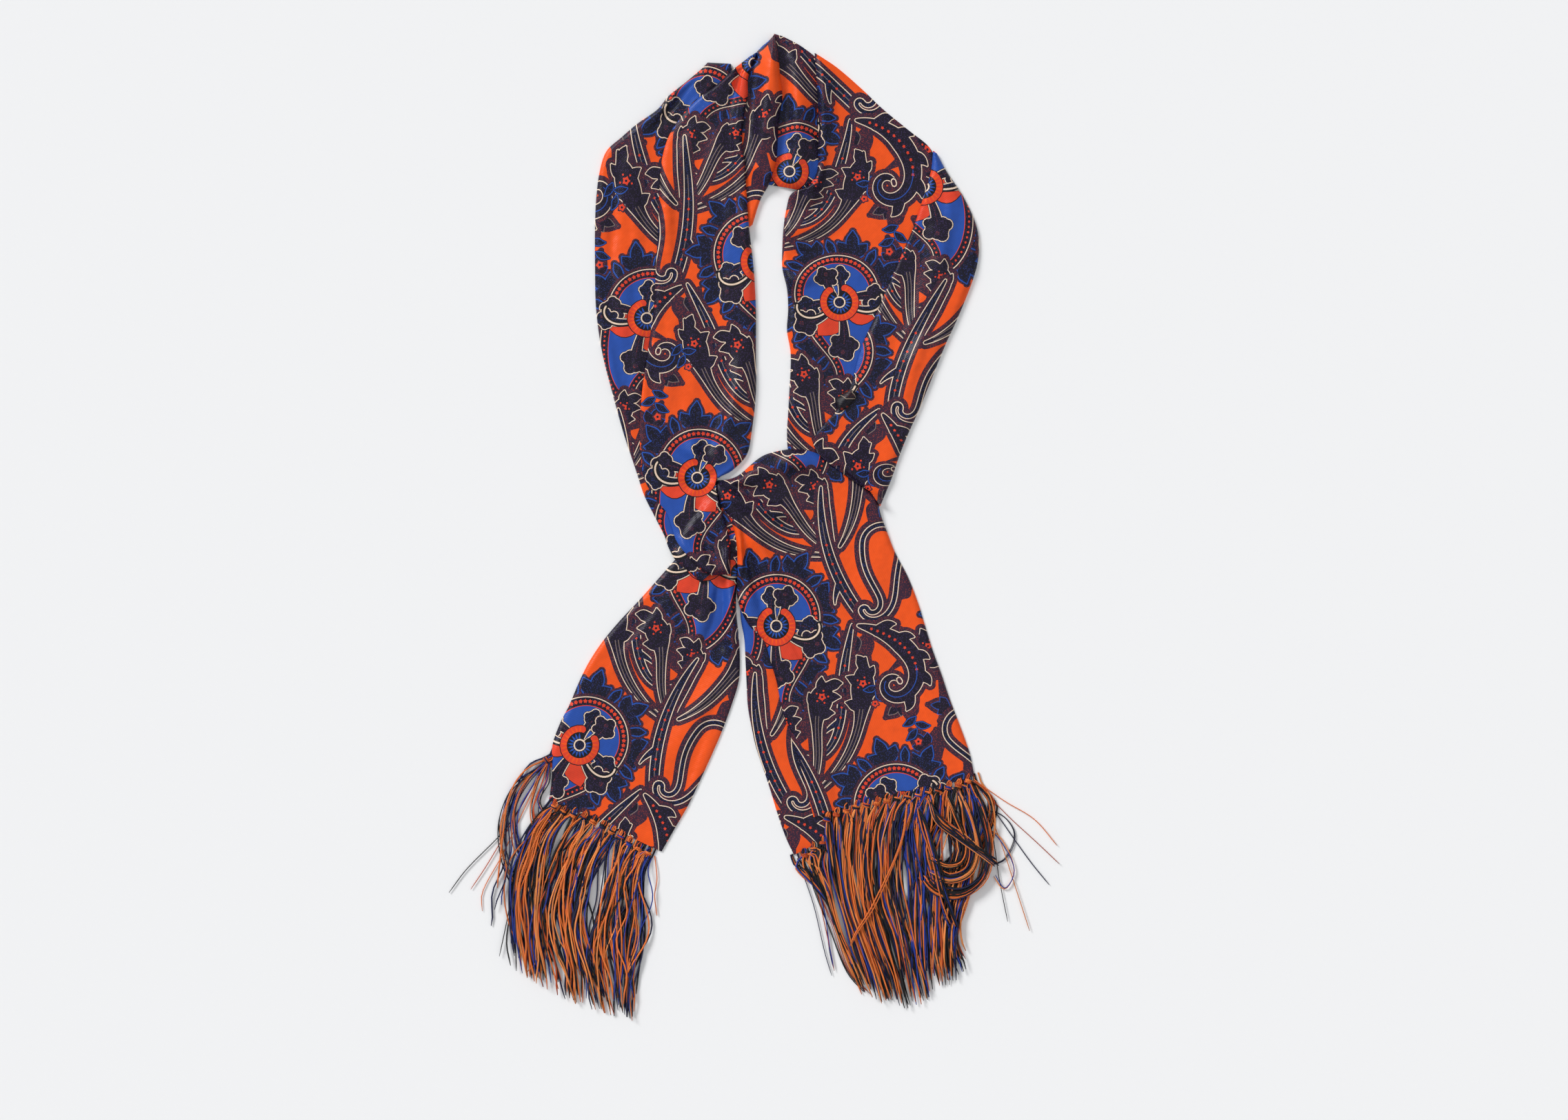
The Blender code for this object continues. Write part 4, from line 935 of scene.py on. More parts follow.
def read(grid, corners, weights):
    """A grid's values inside its triangles."""
    found = grid.reshape(-1, *grid.shape[2:])[corners]
    return (found * (weights if grid.ndim == 2 else weights[:, :, None])).sum(axis=1)


def neighbours(grid, edge):
    """The grid moved one step each way, with its own edge values, or this one, beyond its edges."""
    padded = np.pad(grid, 1, mode="edge") if edge is None else np.pad(grid, 1, constant_values=edge)
    return [padded[:-2, 1:-1], padded[2:, 1:-1], padded[1:-1, :-2], padded[1:-1, 2:]]


def resting_heights(plan, below):
    """Heights that keep the cloth clear of the forms below it, eased into a slope where those end."""
    need = np.zeros(plan.shape[:2])
    for form in below:
        corners, weights, gaps = locate(form, plan.reshape(-1, 2))
        tops = np.where(gaps < 0.01, read(form.tops, corners, weights) + CLEAR, 0.0)
        need = np.maximum(need, tops.reshape(need.shape))
    need = np.maximum.reduce([need] + neighbours(need, 0.0))
    eased = need.copy()
    for _ in range(EASINGS):
        eased = np.maximum(need, 0.5 * eased + 0.125 * sum(neighbours(eased, None)))
    return eased


def finished_form(plan, tops, bottoms):
    """A form from its grids: their triangles, a tree to find them by, and the normals of the top."""
    rows, columns = plan.shape[:2]
    first = (np.arange(rows - 1)[:, None] * columns + np.arange(columns - 1)).ravel()
    halves = [(0, columns, columns + 1), (0, columns + 1, 1)]
    triangles = np.concatenate([np.stack([first + step for step in half], axis=1) for half in halves])
    tree = BVHTree.FromPolygons([(x, y, 0.0) for x, y in plan.reshape(-1, 2)], triangles.tolist())
    surface = np.dstack([plan, tops])
    normals = np.cross(np.gradient(surface, axis=0), np.gradient(surface, axis=1))
    normals /= np.maximum(np.linalg.norm(normals, axis=2, keepdims=True), 1e-9)
    return Form(plan, tops, bottoms, normals * np.where(normals[:, :, 2:] < 0, -1, 1), triangles, tree)


def lay(item, below):
    """The form of one stretch, lying on the forms below it."""
    plan = plan_grid(item.sections)
    rests = resting_heights(plan, below)
    folds = [(*points, rise, width * SHARPER) for *points, rise, width in FOLDS.get(item.name, [])]
    rises = RELIEF * lifts(plan, item.rolls, folds + CREASES.get(item.name, []))
    share = np.minimum(np.minimum.reduce(distances(plan)) / ROLL_WIDTH, 1.0)
    wall = RIM + (WALL - RIM) * share
    return finished_form(plan, rests + rises + wall, rests + share * np.maximum(0.0, rises - UNDERCUT))


def core_form(edge):
    """The hidden layers' top, as a low mound that the stretches over it lie on."""
    centre = edge.mean(axis=0)
    closed = np.vstack([edge, edge[:1]])
    plan = np.stack([centre + (closed - centre) * share for share, _ in MOUND])
    tops = np.repeat([[ledges * LEDGE] for _, ledges in MOUND], len(closed), axis=1)
    return finished_form(plan, tops, np.zeros_like(tops))


# Cloth: the print's outlines and the form's points, triangulated together
def cloth_line(sections):
    """The smoothed middle line of a stretch and the directions across it, past both of its ends."""
    middles = sections.mean(axis=1)
    stations, length = chord_stations(middles)
    degree = min(LINE_DEGREE, len(sections) - 1)
    curves = [np.polyfit(stations, middles[:, k], degree) for k in (0, 1)]
    inner = np.linspace(0, 1, LINE_POINTS)
    points = np.stack([np.polyval(curve, inner) for curve in curves], axis=1)
    reach = MARGIN / (length / (LINE_POINTS - 1))
    first, last = points[0] - points[1], points[-1] - points[-2]
    points = np.vstack([points[0] + first * reach, points, points[-1] + last * reach])
    places = lengths_along(points)
    places = places - places[1]
    fine = np.linspace(places[0], places[-1], 3 * LINE_POINTS)
    points = np.stack([np.interp(fine, places, points[:, k]) for k in (0, 1)], axis=1)
    across = directions(points)[1]
    if np.dot(across.sum(axis=0), (sections[:, -1] - sections[:, 0]).sum(axis=0)) < 0:
        across = -across
    return fine, points, across


def onto_plan(line, points):
    """Points of the cloth, (across, along), where they lie on the plan."""
    places, middles, across = line
    spots = [np.interp(points[:, 1], places, middles[:, k]) for k in (0, 1)]
    sides = [np.interp(points[:, 1], places, across[:, k]) * points[:, 0] for k in (0, 1)]
    return np.stack([spots[0] + sides[0], spots[1] + sides[1]], axis=1)


def occupied(plan):
    """A coarse raster of the plan: its corner, and which cells hold any of it."""
    flat = plan.reshape(-1, 2)
    low = flat.min(axis=0) - RASTER
    cells = np.zeros(((flat.max(axis=0) - low) / RASTER).astype(int) + 2, bool)
    at = ((flat - low) / RASTER).astype(int)
    cells[at[:, 0], at[:, 1]] = True
    return low, cells


def overlaps(raster, points):
    low, cells = raster
    first = np.floor((points.min(axis=0) - low) / RASTER).astype(int)
    last = np.floor((points.max(axis=0) - low) / RASTER).astype(int) + 1
    if (last <= 0).any() or (first >= cells.shape).any():
        return False
    first = np.maximum(first, 0)
    return cells[first[0] : last[0], first[1] : last[1]].any()


def printed_patches(item, form, halves):
    """The print's patches that fall on a stretch, on its plan and in the order of painting."""
    line = cloth_line(item.sections)
    first, last = line[0][0], line[0][-1]
    across, along = item.cut
    raster = occupied(form.plan)
    found = []
    for i in range(int((along + first) // HALF_REPEAT) - 1, int((along + last) // HALF_REPEAT) + 1):
        shift = REPEAT_WIDTH / 2 if i % 2 else 0.0
        low, high = (int((across + side - shift) // REPEAT_WIDTH) for side in (-MARGIN, MARGIN))
        for j in range(low - 1, high + 2):
            corner = np.array([j * REPEAT_WIDTH + shift - across, i * HALF_REPEAT - along])
            for patch in halves[i % 2]:
                points = patch.points + corner
                beside = np.abs(points[:, 0]).min() > MARGIN
                if beside or points[:, 1].max() < first or points[:, 1].min() > last:
                    continue
                points = onto_plan(line, points)
                if overlaps(raster, points):
                    found.append(Patch(points, patch.colour))
    return found


def rim_of(plan):
    """Indices of the plan grid's outline, in order round it."""
    rows, columns = plan.shape[:2]
    index = np.arange(rows * columns).reshape(rows, columns)
    return np.concatenate([index[0, :-1], index[:-1, -1], index[-1, :0:-1], index[:0:-1, 0]])


def counter_clockwise(points):
    x, y = points[:, 0], points[:, 1]
    return points[::-1] if np.dot(x, np.roll(y, -1)) < np.dot(y, np.roll(x, -1)) else points


def triangulate(rim, inner_points, patches):
    """Triangles inside the rim that follow every patch's edges, and where each point of the input went."""
    points, edges = [counter_clockwise(rim)], []
    total = len(rim)
    for patch in patches:
        ids = np.arange(total, total + len(patch.points))
        edges.append(np.stack([ids, np.roll(ids, -1)], axis=1))
        points.append(patch.points)
        total += len(ids)
    spots = [Vector(point) for point in np.vstack(points + [inner_points])]
    edges = np.vstack(edges).tolist() if edges else []
    faces = [list(range(len(rim)))]
    vertices, _, corners, sources, _, owners = delaunay_2d_cdt(spots, edges, faces, 1, 1e-4, True)
    corners = np.array([corner for corner, owner in zip(corners, owners) if owner])
    used = np.unique(corners)
    renumber = np.full(len(vertices), -1)
    renumber[used] = np.arange(len(used))
    places = np.array([(vertex.x, vertex.y) for vertex in vertices])[used]
    went = {source: renumber[k] for k in used for source in sources[k]}
    return places, renumber[corners], went, total


def inside_shape(shape, spots):
    """Which spots a closed shape winds round, also where it crosses itself."""
    x, y = spots[:, 0, None], spots[:, 1, None]
    ax, ay = shape[:, 0], shape[:, 1]
    bx, by = np.roll(ax, -1), np.roll(ay, -1)
    left = (bx - ax) * (y - ay) - (x - ax) * (by - ay)
    up = (ay <= y) & (by > y) & (left > 0)
    down = (ay > y) & (by <= y) & (left < 0)
    return up.sum(axis=1) != down.sum(axis=1)


def topmost(patches, middles):
    """The last painted patch over each triangle's middle, or -1 for the ground."""
    found = np.full(len(middles), -1)
    order = np.argsort(middles[:, 0])
    sorted_x = middles[order, 0]
    for number in range(len(patches) - 1, -1, -1):
        shape = patches[number].points
        low, high = shape.min(axis=0), shape.max(axis=0)
        near = order[np.searchsorted(sorted_x, low[0]) : np.searchsorted(sorted_x, high[0])]
        near = near[(middles[near, 1] > low[1]) & (middles[near, 1] < high[1]) & (found[near] < 0)]
        if len(near):
            found[near[inside_shape(shape, middles[near])]] = number
    return found


def boundary_edges(corners):
    """The edges that only one of these triangles has, and the triangle of each."""
    edges = np.concatenate([corners[:, [0, 1]], corners[:, [1, 2]], corners[:, [2, 0]]])
    owners = np.tile(np.arange(len(corners)), 3)
    _, first, counts = np.unique(np.sort(edges, axis=1), axis=0, return_index=True, return_counts=True)
    lone = first[counts == 1]
    return edges[lone], owners[lone]


def paint(mesh, name, colours):
    layer = mesh.color_attributes.new(name=name, type="FLOAT_COLOR", domain="CORNER")
    layer.data.foreach_set("color", np.asarray(colours, np.float32).ravel())


def unwrap(mesh, uvs):
    mesh.uv_layers.new(name="cloth").data.foreach_set("uv", uvs.astype(np.float32).ravel())


def mesh_piece(name, points, faces, material):
    """A piece of triangles or quads, in millimetres."""
    mesh = bpy.data.meshes.new(name)
    mesh.from_pydata((np.asarray(points) * MM).tolist(), [], [list(face) for face in faces])
    mesh.materials.append(material)
    piece = bpy.data.objects.new(name, mesh)
    bpy.context.scene.collection.objects.link(piece)
    return piece


def lay_weave(mesh, way):
    """UVs in metres of cloth, with the twill along a direction."""
    corners = np.empty(len(mesh.loops), int)
    mesh.loops.foreach_get("vertex_index", corners)
    spots = np.empty(len(mesh.vertices) * 3)
    mesh.vertices.foreach_get("co", spots)
    angle = -math.atan2(way[1], way[0])
    c, s = math.cos(angle), math.sin(angle)
    unwrap(mesh, spots.reshape(-1, 3)[corners, :2] @ np.array([[c, s], [-s, c]]))


def lifted(form, grid, places):
    """Places of the plan at the height of one of the form's grids, and the form's normals there."""
    held, weights, _ = locate(form, places)
    return np.column_stack([places, read(grid, held, weights)]), read(form.normals, held, weights)


def round_loop(edges):
    """The vertices of a closed loop of edges, in order."""
    follow = dict(edges.tolist())
    order = [int(edges[0][0])]
    while follow[order[-1]] != order[0] and len(order) < len(follow):
        order.append(follow[order[-1]])
    return order


def dress(item, form, halves, material, palette):
    """One stretch of printed silk: its printed top, its plain underside and its edge."""
    patches = printed_patches(item, form, halves)
    flat = form.plan.reshape(-1, 2)
    rim = rim_of(form.plan)
    inside = np.setdiff1d(np.arange(len(flat)), rim)
    places, corners, went, first_inner = triangulate(flat[rim], flat[inside], patches)
    upper, normals = lifted(form, form.tops, places)

    edges, edge_owners = boundary_edges(corners)
    order = round_loop(edges)
    spare = [went[k] for k in range(first_inner, first_inner + len(inside), 2) if k in went]
    under_places, under_corners, under_went, _ = triangulate(places[order], places[spare], [])
    under_corners = under_corners[:, ::-1]
    under, under_normals = lifted(form, form.bottoms, under_places)
    if not np.allclose(counter_clockwise(places[order]), places[order]):
        order = order[::-1]
    count = len(upper)
    below = {vertex: count + under_went[k] for k, vertex in enumerate(order)}
    faces = corners.tolist() + (under_corners + count).tolist()
    faces += [(b, a, below[a], below[b]) for a, b in edges]
    piece = mesh_piece(item.name + "_silk", np.vstack([upper, under]), faces, material)

    names = np.array([GROUND] + [patch.colour for patch in patches])
    names = names[topmost(patches, places[corners].mean(axis=1)) + 1]
    base, dots = palette[0][names], palette[1][names]
    vertex_colour = np.zeros((count, 4))
    vertex_colour[corners.ravel()] = np.repeat(base, 3, axis=0)
    nearest = {tuple(place): k for k, place in enumerate(np.round(places, 3).tolist())}
    under_source = [nearest.get(tuple(place), 0) for place in np.round(under_places, 3).tolist()]
    under_colour = vertex_colour[under_source] * (REVERSE, REVERSE, REVERSE, 1.0)
    plain = [under_colour[under_corners.ravel()], np.repeat(base[edge_owners], 4, axis=0)]
    paint(piece.data, "print", np.vstack([np.repeat(base, 3, axis=0)] + plain))
    paint(piece.data, "dots", np.vstack([np.repeat(dots, 3, axis=0)] + plain))

    edge_way = places[edges[:, 1]] - places[edges[:, 0]]
    outward = np.column_stack([edge_way[:, 1], -edge_way[:, 0], np.zeros(len(edges))])
    outward /= np.maximum(np.linalg.norm(outward, axis=1, keepdims=True), 1e-9)
    outward = np.repeat(outward, 4, axis=0)
    corner_normals = [normals[corners.ravel()], -under_normals[under_corners.ravel()], outward]
    piece.data.normals_split_custom_set(np.vstack(corner_normals).tolist())
    lay_weave(piece.data, item.sections[-1].mean(axis=0) - item.sections[0].mean(axis=0))
    return piece


def core_piece(name, edge, material):
    """Hidden layers of silk: ledges that follow the outline, softly rounded."""
    away = edge.mean(axis=0) - edge
    away /= np.linalg.norm(away, axis=1)[:, None]
    rings = []
    for inset, height in CORE_PROFILE:
        rings.append(np.column_stack([edge + away * inset, np.full(len(edge), height)]))
    index = np.arange(len(rings) * len(edge)).reshape(len(rings), -1)
    after = np.roll(index, -1, axis=1)
    faces = np.stack([index[:-1], after[:-1], after[1:], index[1:]], axis=2).reshape(-1, 4).tolist()
    faces += [index[0, ::-1].tolist(), index[-1].tolist()]
    piece = mesh_piece(name + "_silk", np.vstack(rings), faces, material)
    piece.data.shade_smooth()
    for layer, colour in zip(("print", "dots"), PRINT_COLOURS[NAVY]):
        paint(piece.data, layer, np.tile(linear(*colour), (len(piece.data.loops), 1)))
    across = len(edge) // 2
    lay_weave(piece.data, (edge[across] + edge[across + 1] - edge[0] - edge[1]) / 2)
    return piece


# Colours and materials
def linear(red, green, blue):
    """A colour of 0 to 255 on the screen as the share of light it returns."""
    channels = np.array([red, green, blue]) / 255
    low = channels / 12.92
    high = ((channels + 0.055) / 1.055) ** 2.4
    return np.where(channels <= 0.04045, low, high).tolist() + [1.0]


def palette_of(dim):
    """The colours of the print, and those of its pin-dots, all made darker by dim."""
    grounds = [linear(*ground) for ground, _ in PRINT_COLOURS.values()]
    dots = [linear(*(dot or ground)) for ground, dot in PRINT_COLOURS.values()]
    scale = np.array([dim, dim, dim, 1.0])
    return np.array(grounds) * scale, np.array(dots) * scale


def fill_inputs(node, inputs):
    """Give each input its value, or the output that feeds it."""
    for name, given in inputs.items():
        if isinstance(given, bpy.types.NodeSocket):
            node.id_data.links.new(given, node.inputs[name])
        else:
            node.inputs[name].default_value = given


def add_node(tree, kind, output, inputs, **settings):
    """One output of a new node with these settings and inputs."""
    node = tree.nodes.new("ShaderNode" + kind)
    for name, value in settings.items():
        setattr(node, name, value)
    fill_inputs(node, inputs)
    return node.outputs[output]


def new_material(name):
    material = bpy.data.materials.new(name)
    material.use_nodes = True
    return material, material.node_tree


def silk_material():
    """Satin twill: printed colours, pin-dots, fine diagonal ribs, and a little uneven in dye and gloss."""
    material, tree = new_material("printed_silk")
    cloth = add_node(tree, "UVMap", "UV", {}, uv_map="cloth")

    def clouds(scale, detail):
        return add_node(tree, "TexNoise", "Fac", {"Vector": cloth, "Scale": scale, "Detail": detail})

    def mapped(value, low, high, start=0.0, end=1.0):
        span = {"From Min": start, "From Max": end, "To Min": low, "To Max": high}
        return add_node(tree, "MapRange", "Result", {"Value": value, **span})

    cells = {"Vector": cloth, "Scale": DOTS_PER_METRE, "Randomness": 0.55}
    cells = add_node(tree, "TexVoronoi", "Distance", cells, feature="F1", distance="EUCLIDEAN")
    colours = {
        "Factor": mapped(cells, 1.0, 0.0, 0.26, 0.38),
        "A": add_node(tree, "VertexColor", "Color", {}, layer_name="print"),
        "B": add_node(tree, "VertexColor", "Color", {}, layer_name="dots"),
    }
    dotted = add_node(tree, "Mix", "Result", colours, data_type="RGBA")
    dye = {"Value": mapped(clouds(160.0, 5.0), 0.84, 1.12), "Color": dotted}
    ribs = {"Vector": cloth, "Scale": TWILL_SCALE, "Distortion": 0.6, "Detail": 1.0}
    ribs = add_node(tree, "TexWave", "Fac", ribs, wave_type="BANDS", bands_direction="DIAGONAL")
    rumple = {"Strength": 0.5, "Distance": 0.002, "Height": clouds(70.0, 3.0)}
    rumple = add_node(tree, "Bump", "Normal", rumple)
    relief = {"Strength": 0.25, "Distance": 0.0002, "Height": ribs, "Normal": rumple}
    looks = {
        "Base Color": add_node(tree, "HueSaturation", "Color", dye),
        "Roughness": mapped(clouds(45.0, 3.0), *SILK_ROUGHNESS),
        "Specular IOR Level": 0.22,
        "Sheen Weight": 0.03,
        "Sheen Roughness": 0.35,
        "Normal": add_node(tree, "Bump", "Normal", relief),
    }
    fill_inputs(tree.nodes["Principled BSDF"], looks)
    return material


def yarn_material():
    """Twisted silk yarn: each strand's colour, made darker and lighter in bands along its ply as painted
    shade in the grooves and a painted highlight on the crests, the ply also as fine diagonal grooves, and a
    soft shine.
    """
    material, tree = new_material("fringe_yarn")
    wound = add_node(tree, "UVMap", "UV", {}, uv_map="cloth")
    ply = {"Vector": wound, "Scale": 1.4, "Distortion": 0.4}
    ply = add_node(tree, "TexWave", "Fac", ply, wave_type="BANDS", bands_direction="DIAGONAL")
    # The ply's bands scale each strand's colour from 0.46 to 1.2. This is painted shade in the grooves
    # between the plies and a painted highlight on their crests, and partly the plies' own tones.
    dye = {
        "Value": add_node(tree, "MapRange", "Result", {"Value": ply, "To Min": 0.46, "To Max": 1.2}),
        "Color": add_node(tree, "VertexColor", "Color", {}, layer_name="print"),
    }
    looks = {
        "Base Color": add_node(tree, "HueSaturation", "Color", dye),
        "Roughness": 0.44,
        "Specular IOR Level": 0.3,
        "Sheen Weight": 0.05,
        "Sheen Roughness": 0.4,
        "Normal": add_node(tree, "Bump", "Normal", {"Strength": 0.6, "Distance": 0.0003, "Height": ply}),
    }
    fill_inputs(tree.nodes["Principled BSDF"], looks)
    return material


def table_material():
    material, tree = new_material("pale_table")
    grain = add_node(tree, "TexNoise", "Fac", {"Scale": 3.0})
    colour = add_node(tree, "ValToRGB", "Color", {"Fac": grain})
    for stop, tone in zip(colour.node.color_ramp.elements, TABLE_COLOURS):
        stop.color = tone
    fill_inputs(tree.nodes["Principled BSDF"], {"Roughness": 0.85, "Base Color": colour})
    return material


# Fringe: bundles of twisted yarn tied along each hem
def tubes(paths, radii, sides, reference):
    """Round strands along paths of equal length: points, faces, UVs, each face's path, and end caps."""
    paths = np.asarray(paths, float)
    count, steps = paths.shape[:2]
    along = np.gradient(paths, axis=1)
    along /= np.maximum(np.linalg.norm(along, axis=2, keepdims=True), 1e-9)
    side = np.cross(along, np.broadcast_to(reference, along.shape))
    side /= np.maximum(np.linalg.norm(side, axis=2, keepdims=True), 1e-9)
    up = np.cross(side, along)
    angles = np.arange(sides) * 2 * math.pi / sides
    ring = side[:, :, None] * np.cos(angles)[:, None] + up[:, :, None] * np.sin(angles)[:, None]
    points = paths[:, :, None] + ring * np.broadcast_to(radii, (count, steps))[:, :, None, None]
    index = np.arange(count * steps * sides).reshape(count, steps, sides)
    after = np.roll(index, -1, axis=2)
    faces = np.stack([index[:, :-1], after[:, :-1], after[:, 1:], index[:, 1:]], axis=3).reshape(-1, 4)
    length = np.zeros((count, steps))
    length[:, 1:] = np.cumsum(np.linalg.norm(np.diff(paths, axis=1), axis=2), axis=1)
    u = np.broadcast_to(np.arange(sides) / sides, (count, steps - 1, sides))
    v = np.broadcast_to((length / PLY_PITCH)[:, :, None], (count, steps, sides))
    corner_u = np.stack([u, u + 1 / sides, u + 1 / sides, u], axis=3)
    corner_v = np.stack([v[:, :-1], v[:, :-1], v[:, 1:], v[:, 1:]], axis=3)
    uvs = np.stack([corner_u.reshape(-1), corner_v.reshape(-1)], axis=1)
    owners = np.repeat(np.arange(count), (steps - 1) * sides)
    caps = np.concatenate([index[:, 0, ::-1], index[:, -1]])
    return points.reshape(-1, 3), faces, uvs, owners, caps


def along_three(points, place):
    """The curve through three points, read at places from 0 to 1."""
    first, middle, last = points
    place = np.asarray(place)[:, None]
    return (
        first * (1 - place) * (1 - 2 * place)
        + middle * 4 * place * (1 - place)
        + last * place * (2 * place - 1)
    )


def smooth_step(share):
    share = np.clip(share, 0, 1)
    return share * share * (3 - 2 * share)


def wave_of(t, turns, phase):
    return np.sin(2 * math.pi * (turns * t + phase))


def strand(flat, z, thick, tip, t):
    """A strand's path, which stays above the table, and its radii, which shrink at its tip."""
    path = np.column_stack([flat, np.maximum(z, thick + 0.1)])
    return path, np.full(STRAND_RINGS, thick) * np.interp(t, [0, 0.95, 1], [1, 1, tip])


def parted(item, flat):
    """Strands pushed out of the item's partings."""
    for middle, hole, reach in PARTINGS.get(item.name, []):
        away = flat - middle
        gap = np.maximum(np.linalg.norm(away, axis=1), 1e-3)
        moved = hole + gap * (1 - hole / reach)
        flat = np.where((gap < reach)[:, None], middle + away * (moved / gap)[:, None], flat)
    return flat


def hung_strands(item, knots, down, rng, top_at):
    """Strands of a fringe: a bundle from each knot, in soft curves that cross here and there."""
    rows = item.sections
    stations, _ = chord_stations(rows.mean(axis=1))
    hem_places = np.linspace(0, 1, 60)
    hem = along_three(rows[0], hem_places)
    bundle_share = BUNDLE_SPREAD / np.linalg.norm(rows[2, 2] - rows[2, 0])
    strands, dyes = [], []
    for knot in knots:
        home = hem_places[np.linalg.norm(hem - knot, axis=1).argmin()]
        height = top_at(knot)
        bundle = pick_dyes(rng, STRAND_MIX, item.strands)
        fans = rng.uniform(-1.25, 1.25, item.strands)
        shared = (rng.normal(0, 0.7), rng.uniform(0.6, 1.0), rng.uniform())
        for number, (dye, fan) in enumerate(zip(bundle, fans)):
            under = number % 3 == 0
            reach = rng.uniform(*STRAND_REACH)
            t = reach * np.linspace(0, 1, STRAND_RINGS) ** 1.25
            swing = shared[0] * wave_of(t, *shared[1:])
            stray = 1.6 if rng.uniform() < 0.12 else 0.5
            swing += rng.normal(0, stray) * wave_of(t, rng.uniform(0.5, 1.2), rng.uniform())
            swing += rng.normal(0, 0.22) * np.sin(2 * math.pi * rng.uniform(1.6, 2.8) * t)
            fanned = fan if under else fan * smooth_step(t / 0.1 + 0.2)
            place = home + bundle_share * (fanned + swing * smooth_step(t / 0.25))
            place = place + item.drawn * smooth_step(t / 0.45) * (DRAWN_TO - place)
            flat = along_three([hermite(stations, rows[:, k], t) for k in range(3)], place)
            start = -TUCK * down if under else knot - along_three(rows[0], place[:1])[0]
            flat = parted(item, flat + start * (1 - smooth_step(t / 0.05))[:, None])
            # Dark dyes lie lowest, so their strands fill the gaps with dark: partly painted shade of the
            # mass's depth.
            level = rng.uniform(*(DARK_LEVELS if dye in DARK_DYES else LIGHT_LEVELS))
            wave = 0.5 * wave_of(t, rng.uniform(1, 2.2), rng.uniform())
            share = smooth_step(t / 0.2)
            top = 0.0 if under else height + rng.uniform(-0.4, 0.9)
            z = top * (1 - share) + (level + wave) * share
            strands.append(strand(flat, z, rng.uniform(*STRAND_RADII), 0.45, t / reach))
            dyes.append(dye)
    return strands, dyes


def lone_strands(item, rng, top_at):
    """Loose strands, loops and turned locks that leave the mass, each by its own row of points."""
    strands = []
    t = np.linspace(0, 1, STRAND_RINGS)
    for points, count, spread, level, radius, _ in LOCKS[item.name]:
        guide = np.array(points, float)
        stations, _ = chord_stations(guide)
        for _ in range(count):
            flat = hermite(stations, guide, t * rng.uniform(0.93, 1.0) if count > 1 else t)
            across = directions(flat)[1]
            lean = rng.normal(0, 1) * smooth_step(t / 0.3)
            lean = lean + 0.5 * rng.normal(0, 1) * wave_of(t, 1.3, rng.uniform())
            if count > 1:
                flat = flat + across * (lean * spread)[:, None]
            share = smooth_step(t / 0.25)
            z = top_at(guide[0]) * (1 - share) + (level + rng.uniform(0, 1.6)) * share
            strands.append(strand(flat, z, radius * rng.uniform(0.85, 1.15), 0.5, t))
    return strands


def knot_wraps(knots, down, rng, top_at):
    """Yarn wound round each bundle just below the hem."""
    paths = []
    side = np.array([-down[1], down[0]])
    t = np.linspace(0, 1, KNOT_RINGS)
    for knot in knots:
        height = top_at(knot)
        for turn in range(KNOT_WRAPS):
            angle = 2 * math.pi * (1.25 * t + rng.uniform())
            wide = KNOT_WIDTH * rng.uniform(0.85, 1.1)
            shift = 0.6 + turn * 1.1 + 0.7 * t + rng.uniform(-0.2, 0.2)
            flat = knot + down * shift[:, None] + side * (wide * np.cos(angle))[:, None]
            z = height + 0.3 + KNOT_HEIGHT * np.sin(angle) - 0.25 * turn
            paths.append(np.column_stack([flat, np.maximum(z, 0.7)]))
    return paths


def hem_loops(knots, down, rng, top_at):
    """Yarns that come over the hem from the cloth, into each knot."""
    paths = []
    side = np.array([-down[1], down[0]])
    t = np.linspace(0, 1, KNOT_RINGS)
    for knot in knots:
        for k in range(HEM_LOOPS):
            lean = (k - (HEM_LOOPS - 1) / 2) * 0.95 + rng.uniform(-0.3, 0.3)
            inside = rng.uniform(3.4, 5.4)
            flat = knot - down * (inside * (1 - t))[:, None] + down * (1.2 * t)[:, None]
            flat = flat + side * (lean * (0.5 + 0.9 * np.sin(math.pi * t)))[:, None]
            ground = np.interp(t, t[::4], [top_at(point) for point in flat[::4]])
            z = ground + 0.25 + 0.9 * np.sin(math.pi * np.clip(t * 0.62, 0, 1))
            z[0] = ground[0] - 0.5
            paths.append(np.column_stack([flat, z]))
    return paths


def pick_dyes(rng, mix, count):
    """Names of dyes, each as often as its share of the mix."""
    shares = np.array(list(mix.values()), float)
    return rng.choice(list(mix), size=count, p=shares / shares.sum())


def yarn_colour(rng, dye):
    """A strand's colour: its dye, a little lighter or darker."""
    colour = np.array(linear(*YARNS[dye]))
    colour[:3] *= rng.uniform(*YARN_SHADES)
    return colour


